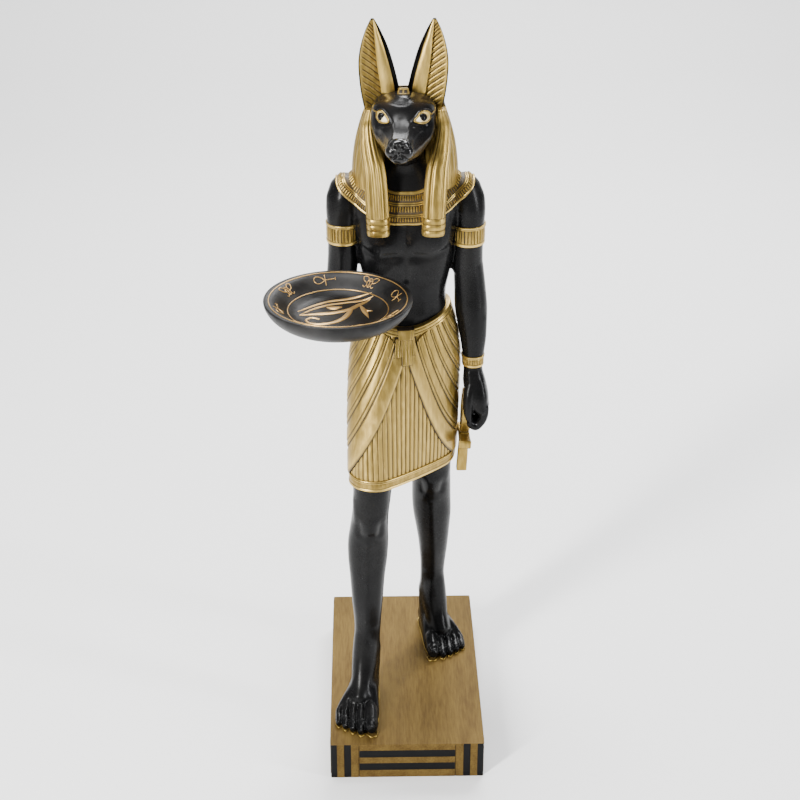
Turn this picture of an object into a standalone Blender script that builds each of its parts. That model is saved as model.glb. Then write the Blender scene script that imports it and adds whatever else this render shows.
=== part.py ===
"""Jackal-headed butler statue: a cast striding figure on a block plinth, holding out a round dish.

Metres, +Z up. The origin is the middle of the plinth's underside, the figure faces -Y and its
left arm is on +X. The figure is a free form: its tables are drawn in units of one thousandth of
a metre for a figure DRAWN_HEIGHT units tall, measured from its soles, and are scaled to
FIGURE_HEIGHT. The plinth and the dish have real sizes of their own.
"""

import math
from functools import lru_cache

import bmesh
import bpy
import numpy as np
from mathutils import Matrix, Vector
from mathutils.bvhtree import BVHTree

FIT_GAP = 0.0003

PLINTH_WIDTH = 0.192
PLINTH_DEPTH = 0.336
PLINTH_HEIGHT = 0.0505
PLINTH_ROUNDING = 0.0025

FIGURE_HEIGHT = 0.864
DRAWN_HEIGHT = 864.0
UNIT = FIGURE_HEIGHT / DRAWN_HEIGHT
SOLE_LEVEL = PLINTH_HEIGHT + FIT_GAP

DISH_RADIUS = 0.0825
DISH_HEIGHT = 0.034
DISH_LIP = 0.0025
DISH_FLOOR = 0.0145
DISH_FOOT_RADIUS = 0.034
DISH_FOOT_RECESS = 0.0015
DISH_SYMBOL_HEIGHT = 0.0012
DISH_SIDES = 32
DISH_INNER_SHARES = (0.0, 0.36, 0.6, 0.695, 0.94, 1.0)
DISH_DEPTH_SHARES = (1.0, 0.99, 0.92, 0.74, 0.05, 0.0)

# Where the open right hand carries the dish, in the figure's units.
PALM_LEVEL = 554.5
PALM_CENTRE = (-77.0, -139.0)

# Each limb is a stack of ovals: z or y along it, centre, half widths, and the oval's squareness.
TORSO = (
    # z, centre x, centre y, half width, front depth, back depth, squareness
    (380, 0, -6, 40, 30, 34, 2.2),
    (440, 0, 0, 55, 38, 42, 2.3),
    (485, 0, 1, 55, 37, 40, 2.3),
    (512, 0, 1, 51.5, 34.5, 35, 2.3),
    (540, 0.8, 0, 47.5, 32, 31, 2.3),
    (565, 0.8, 0, 52, 34.5, 33, 2.3),
    (590, 0.5, 0, 56.8, 37.5, 36, 2.4),
    (615, 0.5, 0, 59.3, 40, 39, 2.5),
    (640, 0.5, 0, 63, 38.5, 40, 2.5),
    (662, 0.5, 1, 68, 32, 36, 2.3),
    (677, 0.5, 2, 66, 25.5, 30, 2.1),
    (688.5, 0.5, 3, 48, 22, 27, 2.0),
    (698, 0.5, 2, 30, 21, 24, 2.0),
    (712, 0.4, 0, 23.5, 21, 22, 2.0),
    (750, 0, -4, 22.5, 20, 22, 2.0),
)
LEFT_UPPER_ARM = (
    # z, centre x, centre y, half width, front depth, back depth, squareness
    (682, 68, 2, 6, 9, 9, 2),
    (678, 68.5, 2, 13, 16, 16, 2),
    (666, 70, 1, 19, 21, 21, 2),
    (648, 72, 0, 20.6, 22.5, 22, 2),
    (622, 74.2, 0, 18.4, 20.5, 20, 2),
    (592, 73.6, 0, 18, 19.5, 19.5, 2),
    (564, 74.2, 0, 18, 18.5, 18.5, 2),
)
RIGHT_UPPER_ARM = (
    (682, -67.5, 2, 6, 9, 9, 2),
    (678, -68, 2, 13, 16, 16, 2),
    (666, -69.2, 1, 19, 21, 21, 2),
    (648, -70.4, 0, 20.4, 22.5, 22, 2),
    (622, -72, 0, 18.4, 20.5, 20, 2),
    (592, -72.2, 0, 18, 19.5, 19.5, 2),
    (564, -74, 0, 18, 18.5, 18.5, 2),
)
LEFT_FOREARM = (
    (575, 74.6, 0, 17.6, 18.5, 18.5, 2),
    (539, 77.5, -1, 19, 19, 19, 2),
    (520, 78.7, -2, 19.6, 19.5, 18, 2),
    (500, 80.2, -3, 18, 18.5, 17, 2),
    (480, 81.6, -4, 15.6, 16, 15, 2),
    (457, 82, -5, 12.6, 13.5, 13, 2),
    (440, 82.4, -6, 11.4, 13, 13, 2.2),
    (422, 84.5, -6, 14, 18, 18, 2.4),
    (404, 88, -6, 14, 22, 21, 2.6),
    (394, 90, -6, 12, 22.5, 21, 2.6),
    (386, 93, -6, 8, 22, 20, 2.6),
    (381, 94, -6, 5, 18, 17, 2.4),
)
RIGHT_FOREARM = (
    # y, centre x, centre z, half width, height up, height down, squareness
    (17, -74.5, 540, 9, 9, 9, 2),
    (12, -74.5, 539, 15, 15, 15, 2),
    (0, -75, 539, 18.6, 18.5, 19, 2),
    (-22, -76, 540, 19.5, 17.5, 18.5, 2),
    (-48, -76.5, 542, 16.5, 14.5, 15, 2),
    (-74, -77, 544, 12.8, 10.5, 11, 2),
    (-88, -77, 545, 13.2, 9.5, 9.5, 2.2),
    (-104, -77, 546, 19.5, 9, 9, 2.6),
    (-122, -77, 547, 22, 8.5, 8.5, 2.8),
    (-138, -77, 547, 21.5, 8, 7.5, 2.8),
    (-146, -77, 547, 19, 6, 6, 2.4),
)
FRONT_LEG = (
    # z, centre x, centre y, half width, front depth, back depth, squareness
    (400, -36, -40, 30, 30, 30, 2),
    (330, -39.5, -62, 25.5, 26, 27, 2),
    (297, -41, -63, 23, 25.5, 24, 2.1),
    (273, -43, -62, 22.4, 25, 23, 2.2),
    (250, -45, -60, 23.5, 22.5, 26, 2.1),
    (231, -46.2, -58, 25, 21, 30, 2),
    (205, -47, -57, 24.4, 20.5, 30, 2),
    (180, -47.6, -57, 22, 20, 26, 2),
    (151, -47.8, -57, 20, 19, 21.5, 2),
    (109, -47.8, -56, 17.3, 17, 17.5, 2),
    (75, -48.6, -54, 16.4, 17, 17, 2),
    (45, -50, -52, 18.2, 19, 18, 2.1),
    (20, -50, -50, 16, 18, 16, 2.2),
)
BACK_LEG = (
    (400, 31, 12, 31, 30, 30, 2),
    (330, 33.5, 32, 27, 26, 27, 2),
    (297, 34.5, 39, 25, 25.5, 24, 2.1),
    (273, 35, 43, 24.6, 25, 23, 2.2),
    (250, 35.4, 47, 24.8, 22.5, 26, 2.1),
    (228, 35.8, 52, 25, 21, 29, 2),
    (205, 37, 57, 24.6, 20.5, 28, 2),
    (178, 38.4, 63, 22, 20, 24, 2),
    (154, 39.4, 68, 19.6, 19, 20.5, 2),
    (117, 39.4, 76, 17, 17, 17.5, 2),
    (85, 38.7, 82, 16, 17, 17, 2),
    (45, 39, 89, 18.2, 19, 18, 2.1),
    (20, 39, 91, 16, 18, 16, 2.2),
)
FOOT = (
    # distance from the heel, sideways shift outwards, half width, height
    (0.5, 0, 7, 17),
    (5, 0, 14, 27),
    (18, 0, 17.5, 40),
    (36, 0, 18, 41),
    (52, 2, 18.5, 33),
    (70, 5.5, 21.5, 24),
    (86, 8.5, 24.4, 17.5),
    (98, 10, 25.2, 12.5),
    (106, 10.5, 22, 7),
)
FOOT_SLANT = 0.42
TOES = (
    # sideways place outwards, knuckle distance, tip distance, half width, height
    (-9.5, 91, 115, 9.6, 14),
    (3.2, 94, 119.5, 6.2, 12.5),
    (13.2, 94, 118.5, 5.9, 12),
    (22.8, 93, 116.5, 5.7, 11.5),
    (32.0, 91, 113, 5.6, 11),
)
FRONT_FOOT = {"heel": (-50.5, -34.0), "turn": math.radians(1.5), "outwards": -1.0}
BACK_FOOT = {"heel": (36.5, 119.0), "turn": math.radians(8.0), "outwards": 1.0}

# The head turns a little towards the dish. Its stack runs forwards from the back of the skull.
HEAD_TURN = math.radians(4.5)
HEAD = (
    # distance forwards, centre z, half width, height up, height down, squareness
    (-34, 758, 20, 12, 16, 2),
    (-22, 760, 32, 18, 25, 2),
    (0, 762, 36.5, 23, 35, 2.1),
    (20, 761, 36.5, 25, 36, 2.2),
    (34, 759, 34.5, 25, 34, 2.2),
    (44, 757, 30.5, 20, 31.5, 2.2),
    (53, 754, 25, 15.5, 28.5, 2.3),
    (63, 751, 20, 12, 25, 2.4),
    (75, 748.5, 16.4, 9.5, 22, 2.5),
    (86, 747, 14.4, 8.5, 19.5, 2.6),
    (94, 746, 13.2, 8, 17, 2.6),
    (99, 745, 9.5, 6, 11, 2.4),
)
EYE = {"side": 22.5, "forwards": 41.0, "level": 766.5, "size": (10.5, 5.0, 6.2)}
NOSE = {"forwards": 97.0, "level": 748.0, "size": (10.8, 5.5, 7.2)}

EAR = (
    # z, centre |x|, half width, centre y
    (756, 27, 15.5, 0),
    (767, 25.2, 20.2, -1),
    (784, 26.5, 21.9, -2),
    (800, 28.9, 21.1, -2.5),
    (816, 31.2, 19.2, -2.5),
    (832, 32.6, 15.6, -2),
    (846, 33.6, 10.6, -1.5),
    (856, 34.1, 6.1, -1),
    (864, 34.4, 1.6, -0.5),
)
EAR_SHIFT = -1.9
EAR_DEPTH = 8.0
EAR_HOLLOW = 4.5

WIG = (
    # z, half width, depth back, depth front, half width of the opening for face and neck
    (785, 24, 12, 14, 4),
    (781, 35, 25, 20, 10),
    (774, 42, 33, 25, 14),
    (764, 45.5, 39, 30, 16),
    (745, 52, 45, 38, 18),
    (725, 57, 48, 44, 18),
    (706, 59.8, 50, 48, 18),
    (690, 61, 50.5, 51, 18),
    (676, 60.5, 50.5, 52, 18),
)
WIG_LOCKS = 18
LOCK_DEPTH = 1.3
LAPPET = (
    # z, centre |x|, centre y, half width, front depth, back depth
    (752, 40, -14, 8, 14, 10),
    (730, 38, -24, 12, 15, 12),
    (706, 35.2, -33, 12.8, 14.5, 13),
    (684, 33.8, -39, 13, 13.5, 13),
    (660, 32.6, -43, 13, 12.5, 13),
    (640, 31.6, -45, 12.8, 12, 13),
    (628, 31.2, -45.5, 12.6, 11.5, 13),
)
LAPPET_CUFF = (627.6, 640.0)
BACK_PANEL = (
    (716, 0, 20, 42, 16, 22, 2.2),
    (696, 0, 20, 52, 16, 29, 2.3),
    (674, 0, 21, 53, 16, 30, 2.5),
    (645, 0, 23, 47, 16, 28, 2.8),
    (622, 0, 24, 41, 16, 24, 3.0),
)

COLLAR_LIFT = 2.0
COLLAR_OUTLINE = (
    # turn from the front in degrees, x, y and z of its outer edge
    (0, 0, -60, 638),
    (22, 26, -56, 641),
    (45, 56, -40, 655),
    (68, 74, -24, 668),
    (90, 79, 0, 679),
    (112, 74, 24, 669),
    (135, 58, 42, 656),
    (158, 30, 54, 642),
    (180, 0, 58, 638),
)

ARMLET = (593.0, 622.0, 2.2)
BRACELET = (437.5, 453.0, 1.8)

KILT_HEM = 319.0
KILT_TOP_FRONT = 507.0
KILT_TOP_SIDE = 527.0
KILT_TOP_BACK = 513.0
KILT_SIDE_PLACE = 76.0
BELT_HEIGHT = 9.5
HEM_BAND = 12.0
PLEAT_PITCH = 6.3
PLEAT_DEPTH = 1.5
PLEATS_EACH_SIDE = 13
FOLDS = 7
FOLD_DEPTH = 1.9
DRAPE_LIFT = 2.6
KILT = (
    # z, front thigh x, y, radius, back thigh x, y, half width, half depth, hips half width, depth
    (530, -20, -4, 29, 20, 4, 29, 32, 48, 35),
    (495, -24, -11, 34, 26, 5, 33, 37, 57.2, 40),
    (458, -28, -25, 36.5, 29.5, 8, 35, 42, 60, 44),
    (411, -33, -40, 34.5, 31, 10, 33.4, 44, 50, 40),
    (371, -36, -52, 32, 33, 9, 30.6, 45, 30, 30),
    (315, -38, -67, 29, 33, 8, 28.2, 46, 10, 10),
)

ANKH_FOOT_X = 70.4
ANKH_FOOT_Z = 300.5
ANKH_LEAN = 0.055
ANKH_BAR_Z = 347.5
ANKH_LOOP_Z = 382.0
ANKH_LOOP_HALF = 5.7
ANKH_Y = -7.0

THINNING = 0.66

MATERIALS = {
    "plinth_gold": ((0.42, 0.30, 0.13, 1.0), 0.45, 0.35),
    "figure_black": ((0.02, 0.02, 0.021, 1.0), 0.42, 0.0),
    "dish_black": ((0.02, 0.02, 0.021, 1.0), 0.45, 0.0),
}


def material(name):
    """The named paint as a Principled material."""
    found = bpy.data.materials.get(name)
    if found is None:
        colour, roughness, metallic = MATERIALS[name]
        found = bpy.data.materials.new(name)
        found.use_nodes = True
        shader = found.node_tree.nodes["Principled BSDF"]
        shader.inputs["Base Color"].default_value = colour
        shader.inputs["Roughness"].default_value = roughness
        shader.inputs["Metallic"].default_value = metallic
    return found


def smooth_rows(rows, values):
    """Rows of a table read at new values of their first column, on a smooth curve through them."""
    table = np.array(sorted(rows), float)
    x = table[:, 0]
    slopes = np.gradient(table, x, axis=0)
    found = []
    for value in values:
        value = min(max(value, x[0]), x[-1])
        i = min(max(int(np.searchsorted(x, value)) - 1, 0), len(x) - 2)
        step = x[i + 1] - x[i]
        t = (value - x[i]) / step
        found.append(
            (2 * t**3 - 3 * t**2 + 1) * table[i]
            + (t**3 - 2 * t**2 + t) * step * slopes[i]
            + (3 * t**2 - 2 * t**3) * table[i + 1]
            + (t**3 - t**2) * step * slopes[i + 1]
        )
    return np.array(found)


def between(rows, count):
    """A table read at evenly shared places from its first row to its last."""
    places = np.array([row[0] for row in rows], float)
    steps = np.interp(np.linspace(0, 1, count), np.linspace(0, 1, len(places)), places)
    return smooth_rows(rows, steps)


def oval(half_width, ahead, behind, squareness, sides):
    """Points of a squared oval about the origin, anticlockwise, with ahead towards -y."""
    points = []
    for k in range(sides):
        turn = 2 * math.pi * k / sides
        c, s = math.cos(turn), math.sin(turn)
        depth = behind if s > 0 else ahead
        points.append(
            (
                math.copysign(abs(c) ** (2 / squareness), c) * half_width,
                math.copysign(abs(s) ** (2 / squareness), s) * depth,
            )
        )
    return points


def object_from(name, points, faces):
    """A mesh object in the working collection, its faces turned outwards."""
    mesh = bpy.data.meshes.new(name)
    mesh.from_pydata([tuple(map(float, p)) for p in points], [], faces)
    bm = bmesh.new()
    bm.from_mesh(mesh)
    bmesh.ops.recalc_face_normals(bm, faces=bm.faces)
    bm.to_mesh(mesh)
    bm.free()
    made = bpy.data.objects.new(name, mesh)
    bpy.context.scene.collection.objects.link(made)
    return made


def loft(name, rings):
    """A closed solid through rings with the same number of points, capped at both ends."""
    sides = len(rings[0])
    points = [p for ring in rings for p in ring]
    faces = []
    for r in range(len(rings) - 1):
        for k in range(sides):
            a, b = r * sides + k, r * sides + (k + 1) % sides
            faces.append((a, b, b + sides, a + sides))
    faces.append(tuple(range(sides)))
    faces.append(tuple(range(len(points) - sides, len(points))))
    return object_from(name, points, faces)


def slab(name, outer, inner, around=False):
    """A closed solid between two grids of points; around joins its last column to its first."""
    rows, columns = len(outer), len(outer[0])
    points = [p for row in outer for p in row] + [p for row in inner for p in row]
    under = rows * columns
    faces = []
    last = columns if around else columns - 1
    for r in range(rows - 1):
        for c in range(last):
            d = (c + 1) % columns
            quad = (r * columns + c, r * columns + d, (r + 1) * columns + d, (r + 1) * columns + c)
            faces.append(quad)
            faces.append(tuple(under + i for i in reversed(quad)))
    for c in range(last):
        d = (c + 1) % columns
        for r in (0, rows - 1):
            a, b = r * columns + c, r * columns + d
            faces.append((a, b, under + b, under + a))
    if not around:
        for r in range(rows - 1):
            for c in (0, columns - 1):
                a, b = r * columns + c, (r + 1) * columns + c
                faces.append((a, b, under + b, under + a))
    return object_from(name, points, faces)


def upright(name, rows, count, sides):
    """A limb whose ovals lie flat, one above the other."""
    rings = []
    for z, cx, cy, width, ahead, behind, square in between(rows, count):
        rings.append([(cx + x, cy + y, z) for x, y in oval(width, ahead, behind, square, sides)])
    return loft(name, rings)


def level_limb(name, rows, count, sides):
    """A limb whose ovals stand upright, one in front of the other."""
    rings = []
    for y, cx, cz, width, up, down, square in between(rows, count):
        rings.append([(cx + x, y, cz + z) for x, z in oval(width, down, up, square, sides)])
    return loft(name, rings)


def tube(name, path, radii, sides, flatten=1.0):
    """A round-ended tube along a path in a plane x-z or any other, thinner towards radii of 0."""
    path = [Vector(p) for p in path]
    rings = []
    side = Vector((0, 1, 0))
    for i, (point, radius) in enumerate(zip(path, radii)):
        ahead = (path[min(i + 1, len(path) - 1)] - path[max(i - 1, 0)]).normalized()
        across = ahead.cross(side)
        across = across.normalized() if across.length > 1e-6 else Vector((1, 0, 0))
        other = ahead.cross(across).normalized()
        ring = []
        for k in range(sides):
            turn = 2 * math.pi * k / sides
            ring.append(point + radius * (across * math.cos(turn) * flatten + other * math.sin(turn)))
        rings.append(ring)
    return loft(name, rings)


def ellipsoid(name, centre, size, turn=0.0):
    """A ball stretched to three half sizes and turned about z."""
    bpy.ops.mesh.primitive_uv_sphere_add(segments=10, ring_count=6, radius=1.0)
    made = bpy.context.object
    made.name = name
    made.data.transform(
        Matrix.Translation(centre) @ Matrix.Rotation(turn, 4, "Z") @ Matrix.Diagonal((*size, 1))
    )
    return made


def united(name, solids, cutter=None):
    """One mesh object made of overlapping solids, less a cutter; the solids are used up."""
    group = bpy.data.collections.new(name + "_pieces")
    bpy.context.scene.collection.children.link(group)
    first, rest = solids[0], solids[1:]
    for solid in rest:
        for holder in list(solid.users_collection):
            holder.objects.unlink(solid)
        group.objects.link(solid)
    if rest:
        join = first.modifiers.new("join", "BOOLEAN")
        join.operation = "UNION"
        join.operand_type = "COLLECTION"
        join.collection = group
        join.solver = "EXACT"
    if cutter is not None:
        cut = first.modifiers.new("cut", "BOOLEAN")
        cut.operation = "DIFFERENCE"
        cut.object = cutter
        cut.solver = "EXACT"
    bpy.context.view_layer.update()
    graph = bpy.context.evaluated_depsgraph_get()
    mesh = bpy.data.meshes.new_from_object(first.evaluated_get(graph))
    made = bpy.data.objects.new(name, mesh)
    for solid in solids + ([cutter] if cutter is not None else []):
        bpy.data.objects.remove(solid)
    bpy.data.collections.remove(group)
    bpy.context.scene.collection.objects.link(made)
    return made


def without_crumbs(solid):
    """Removes the specks of no volume that a union of near-touching faces can leave behind."""
    bm = bmesh.new()
    bm.from_mesh(solid.data)
    bmesh.ops.dissolve_degenerate(bm, dist=1e-6, edges=bm.edges)
    left = set(bm.verts)
    shells = []
    while left:
        shell, reach = set(), [left.pop()]
        while reach:
            vertex = reach.pop()
            shell.add(vertex)
            for edge in vertex.link_edges:
                other = edge.other_vert(vertex)
                if other in left:
                    left.discard(other)
                    reach.append(other)
        shells.append(shell)
    shells.sort(key=len)
    for shell in shells[:-1]:
        bmesh.ops.delete(bm, geom=list(shell), context="VERTS")
    bm.to_mesh(solid.data)
    bm.free()
    return solid


def carved(point):
    """Whether a point of the figure lies on carving that is kept whole: kilt, ears or wig."""
    if KILT_HEM - 2 < point.z < KILT_TOP_SIDE + 2 and abs(point.x) < 63 and point.y > -95:
        return not (point.y < -60 and point.z > 480)
    return point.z > 800 or (point.z > 620 and abs(point.x) > 17 and abs(point.x) < 63)


def thinned(solid, share):
    """Collapses the flattest edges of the plain parts until a share of all triangles is left."""
    group = solid.vertex_groups.new(name="carving")
    group.add([v.index for v in solid.data.vertices if carved(v.co)], 1.0, "REPLACE")
    collapse = solid.modifiers.new("thin", "DECIMATE")
    collapse.ratio = share
    collapse.vertex_group = group.name
    collapse.invert_vertex_group = True
    collapse.vertex_group_factor = 1000.0
    graph = bpy.context.evaluated_depsgraph_get()
    mesh = bpy.data.meshes.new_from_object(solid.evaluated_get(graph))
    solid.modifiers.clear()
    solid.vertex_groups.clear()
    solid.data = mesh
    for vertex in mesh.vertices:
        if vertex.co.z < 0.2:
            vertex.co.z = 0.0
    return solid


def foot_place(foot, forwards, outwards, z):
    """A point of a foot from its distance ahead of the heel and its sideways place."""
    side = foot["outwards"]
    turn = side * foot["turn"]
    forwards -= FOOT_SLANT * outwards * min(max(forwards, 0.0) / 100.0, 1.0) ** 2
    x = side * outwards * math.cos(turn) + forwards * math.sin(turn)
    y = side * outwards * math.sin(turn) - forwards * math.cos(turn)
    return foot["heel"][0] + x, foot["heel"][1] + y, z


def foot_solids(name, foot):
    """The arch and heel with a flat sole, and five toes."""
    sides = 14
    rings = []
    for forwards, shift, width, height in FOOT:
        ring = []
        for k in range(sides):
            turn = 2 * math.pi * (k + 0.5) / sides
            z = max(height * 0.42 + height * 0.58 * math.sin(turn), 0.0)
            spread = abs(math.cos(turn)) ** 0.8
            ring.append(
                foot_place(foot, forwards, shift + math.copysign(spread, math.cos(turn)) * width, z)
            )
        rings.append(ring)
    solids = [loft(name + "_arch", rings)]
    for i, (place, knuckle, tip, width, height) in enumerate(TOES):
        rings = []
        length = tip - knuckle
        for share, wide, tall, lift in (
            (-0.25, 0.85, 1.0, 0.0),
            (0.25, 0.95, 1.0, 0.0),
            (0.62, 1.0, 0.82, 0.0),
            (0.9, 0.86, 0.66, 0.0),
            (1.0, 0.5, 0.4, 0.12),
        ):
            ring = []
            for k in range(8):
                turn = 2 * math.pi * (k + 0.5) / 8
                z = height * (lift + tall * max(0.45 + 0.55 * math.sin(turn), 0.0))
                ring.append(
                    foot_place(foot, knuckle + share * length, place + wide * width * math.cos(turn), z)
                )
            rings.append(ring)
        solids.append(loft(f"{name}_toe_{i}", rings))
    return solids


def left_fist():
    """Four fingers curled in a ring round the ankh's loop, and the thumb laid along it."""
    solids = []
    for i in range(4):
        y = -21.0 + 9.8 * i
        reach = 1.0 - 0.03 * abs(i - 1)
        path = [
            (95, y, 394),
            (96, y, 383),
            (91.8, y, 372),
            (86, y, 364.5 + 2 * abs(i - 1)),
            (80.5, y, 370),
            (78, y, 380),
            (79, y, 391 * reach + 388 * (1 - reach)),
        ]
        full = (1.0, 1.05, 1.01, 0.94)[i]
        radii = [full * r for r in (5.4, 5.6, 5.2, 4.8, 5.0, 5.2, 3.2)]
        solids.append(tube(f"finger_{i}", path, radii, 8))
    thumb = [(80, -14, 424), (77.5, -22, 410), (76, -25, 396), (76.5, -26, 384), (78, -26, 377)]
    solids.append(tube("thumb", thumb, (7, 6.6, 6.2, 5.4, 3.0), 8))
    return solids


def right_hand():
    """Fingers and thumb of the open hand, palm up, under the dish."""
    solids = []
    for i, (x, tip) in enumerate(((-92.5, -166), (-82.4, -174), (-72.2, -173), (-62.4, -165))):
        x_tip = -77 + (x + 77) * 1.18
        path = [
            (x, -134, 547),
            (x, -148, 548),
            (0.5 * (x + x_tip), -158, 548.5),
            (x_tip, tip + 3, 550),
            (x_tip, tip, 551),
        ]
        rings = []
        for (px, py, pz), radius in zip(path, (5.2, 5.2, 5.0, 4.6, 2.4)):
            rings.append(
                [(px + x_, py, pz + z_) for x_, z_ in oval(radius, radius * 0.95, radius * 0.95, 2, 8)]
            )
        solids.append(loft(f"open_finger_{i}", rings))
    rings = []
    for px, py, pz, radius in (
        (-90, -98, 545, 6.5),
        (-99, -112, 547, 6.4),
        (-104, -124, 549, 6),
        (-107, -136, 551, 5),
        (-108, -140, 552, 2.6),
    ):
        rings.append([(px + x_, py, pz + z_) for x_, z_ in oval(radius, radius, radius, 2, 8)])
    solids.append(loft("open_thumb", rings))
    return solids


def turned_with_head(x, forwards, z):
    """A point of the head, given as if it faced straight ahead."""
    c, s = math.cos(HEAD_TURN), math.sin(HEAD_TURN)
    return -1.0 + x * c - forwards * s, -x * s - forwards * c, z


def head_solids():
    """The skull with its muzzle, the nose pad and the two eyes."""
    rings = []
    for forwards, level, width, up, down, square in between(HEAD, 12):
        rings.append(
            [turned_with_head(x, forwards, level + z) for x, z in oval(width, down, up, square, 16)]
        )
    solids = [loft("head", rings)]
    nose = turned_with_head(0, NOSE["forwards"], NOSE["level"])
    solids.append(ellipsoid("nose", nose, NOSE["size"], -HEAD_TURN))
    for side in (-1, 1):
        centre = turned_with_head(side * EYE["side"], EYE["forwards"], EYE["level"])
        solids.append(ellipsoid("eye", centre, EYE["size"], side * math.radians(48) - HEAD_TURN))
    return solids


def ear_solid(side):
    """A tall pointed ear, hollow in front, with the fold that runs down from its tip."""
    back_points, front_points = 7, 7
    rings = []
    for z, centre, width, y in EAR:
        ring = []
        depth = EAR_DEPTH * min(1.0, width / 12)
        for k in range(back_points):
            u = math.cos(math.pi * k / (back_points - 1))
            bulge = depth * math.sqrt(max(0.0, 1 - u * u))
            ring.append((EAR_SHIFT + side * (centre + u * width), y + 2 + bulge, z))
        for k in range(front_points):
            u = -1 + 2 * (k + 0.5) / front_points
            hollow = EAR_HOLLOW * min(1.0, width / 12) * (1 - u * u)
            fold = 2.2 * min(1.0, width / 12) * math.exp(-(((u + 0.3) / 0.2) ** 2))
            ring.append((EAR_SHIFT + side * (centre + u * width * 0.97), y + hollow - fold, z))
        rings.append(ring)
    return loft("ear", rings)


def wig_solids():
    """The hood with its locks, open at the face, the two lappets and the panel on the back."""
    outer_count, inner_count = 2 * WIG_LOCKS + 1, 9
    rings = []
    for z, width, back, front, opening in between(WIG, 8):
        ring = []
        for k in range(outer_count):
            turn = math.radians(-66 + 312 * k / (outer_count - 1))
            groove = LOCK_DEPTH * min(1.0, width / 45) * (k % 2)
            depth = back if math.sin(turn) > 0 else front
            ring.append(((width - groove) * math.cos(turn), (depth - groove) * math.sin(turn), z))
        for k in range(inner_count):
            turn = math.radians(180 - 180 * k / (inner_count - 1))
            ring.append((opening * math.cos(turn), 4 * math.sin(turn), z))
        rings.append(ring)
    solids = [loft("hood", rings)]
    for side in (-1, 1):
        rings = []
        for z, x, y, width, ahead, behind in between(LAPPET, 5):
            ring = []
            for k, (dx, dy) in enumerate(oval(width, ahead, behind, 2.6, 16)):
                groove = 1.0 - 0.06 * (k % 2) * (dy < 2)
                ring.append((side * x + dx * groove, y + dy * groove, z))
            rings.append(ring)
        solids.append(loft("lappet", rings))
        rings = []
        for z in LAPPET_CUFF:
            (row,) = smooth_rows(LAPPET, [z])
            around = oval(row[3] + 1, row[4] + 1, row[5] - 1, 2.6, 12)
            rings.append([(side * row[1] + dx, row[2] + dy, z) for dx, dy in around])
        solids.append(loft("lappet_cuff", rings))
    rings = []
    for z, cx, cy, width, ahead, behind, square in between(BACK_PANEL, 5):
        ring = []
        for k, (x, y) in enumerate(oval(width, ahead, behind, square, 24)):
            groove = 1.0 - 0.04 * (k % 2) * (y > 0)
            ring.append((cx + x * groove, cy + y * groove, z))
        rings.append(ring)
    solids.append(loft("wig_back", rings))
    solids.append(ellipsoid("brow_ornament", (-1, -19, 786), (7, 7, 6.5)))
    return solids


def collar_solid(body):
    """A broad collar laid on the body: each point is found by a ray shot at the chest from outside."""
    tree = BVHTree.FromObject(body, bpy.context.evaluated_depsgraph_get())
    columns = 32
    shares = (0.0, 0.5, 1.0)
    outer, inner = [[] for _ in shares], [[] for _ in shares]
    turns = [360 * k / columns for k in range(columns)]
    for turn in turns:
        folded = min(turn, 360 - turn)
        side = 1 if turn <= 180 else -1
        _, ox, oy, oz = smooth_rows(COLLAR_OUTLINE, [folded])[0]
        edge = Vector((side * ox, oy, oz))
        a = math.radians(folded)
        neck = Vector((side * 25 * math.sin(a), 1 - 25 * math.cos(a), 697))
        for i, share in enumerate(shares):
            aim = neck.lerp(edge, share)
            inside = Vector((aim.x * 0.55, aim.y * 0.35 + 1, 640 + 30 * (1 - share)))
            away = (aim - inside).normalized()
            hit, _, _, _ = tree.ray_cast(aim + away * 60, -away, 110)
            on_body = hit if hit is not None else aim
            outer[i].append(on_body + away * COLLAR_LIFT)
            inner[i].append(on_body - away * 9.0)
    return slab("collar", outer, inner, around=True)


def band(name, rows, low, high, lift):
    """A raised band with thicker rims round a limb of upright ovals."""
    tall = high - low
    rings = []
    for z, out in (
        (low, 0.2),
        (low, 1.0),
        (low + 0.2 * tall, 1.0),
        (low + 0.24 * tall, 0.55),
        (high - 0.24 * tall, 0.55),
        (high - 0.2 * tall, 1.0),
        (high, 1.0),
        (high, 0.2),
    ):
        _, cx, cy, width, ahead, behind, square = smooth_rows(rows, [z])[0]
        extra = lift * out
        rings.append(
            [
                (cx + x, cy + y, z)
                for x, y in oval(width + extra, ahead + extra, behind + extra, square, 16)
            ]
        )
    rings[0] = [(x, y, low + 0.02 * tall) for x, y, _ in rings[0]]
    rings[-1] = [(x, y, high - 0.02 * tall) for x, y, _ in rings[-1]]
    return loft(name, rings[1:-1])


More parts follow.
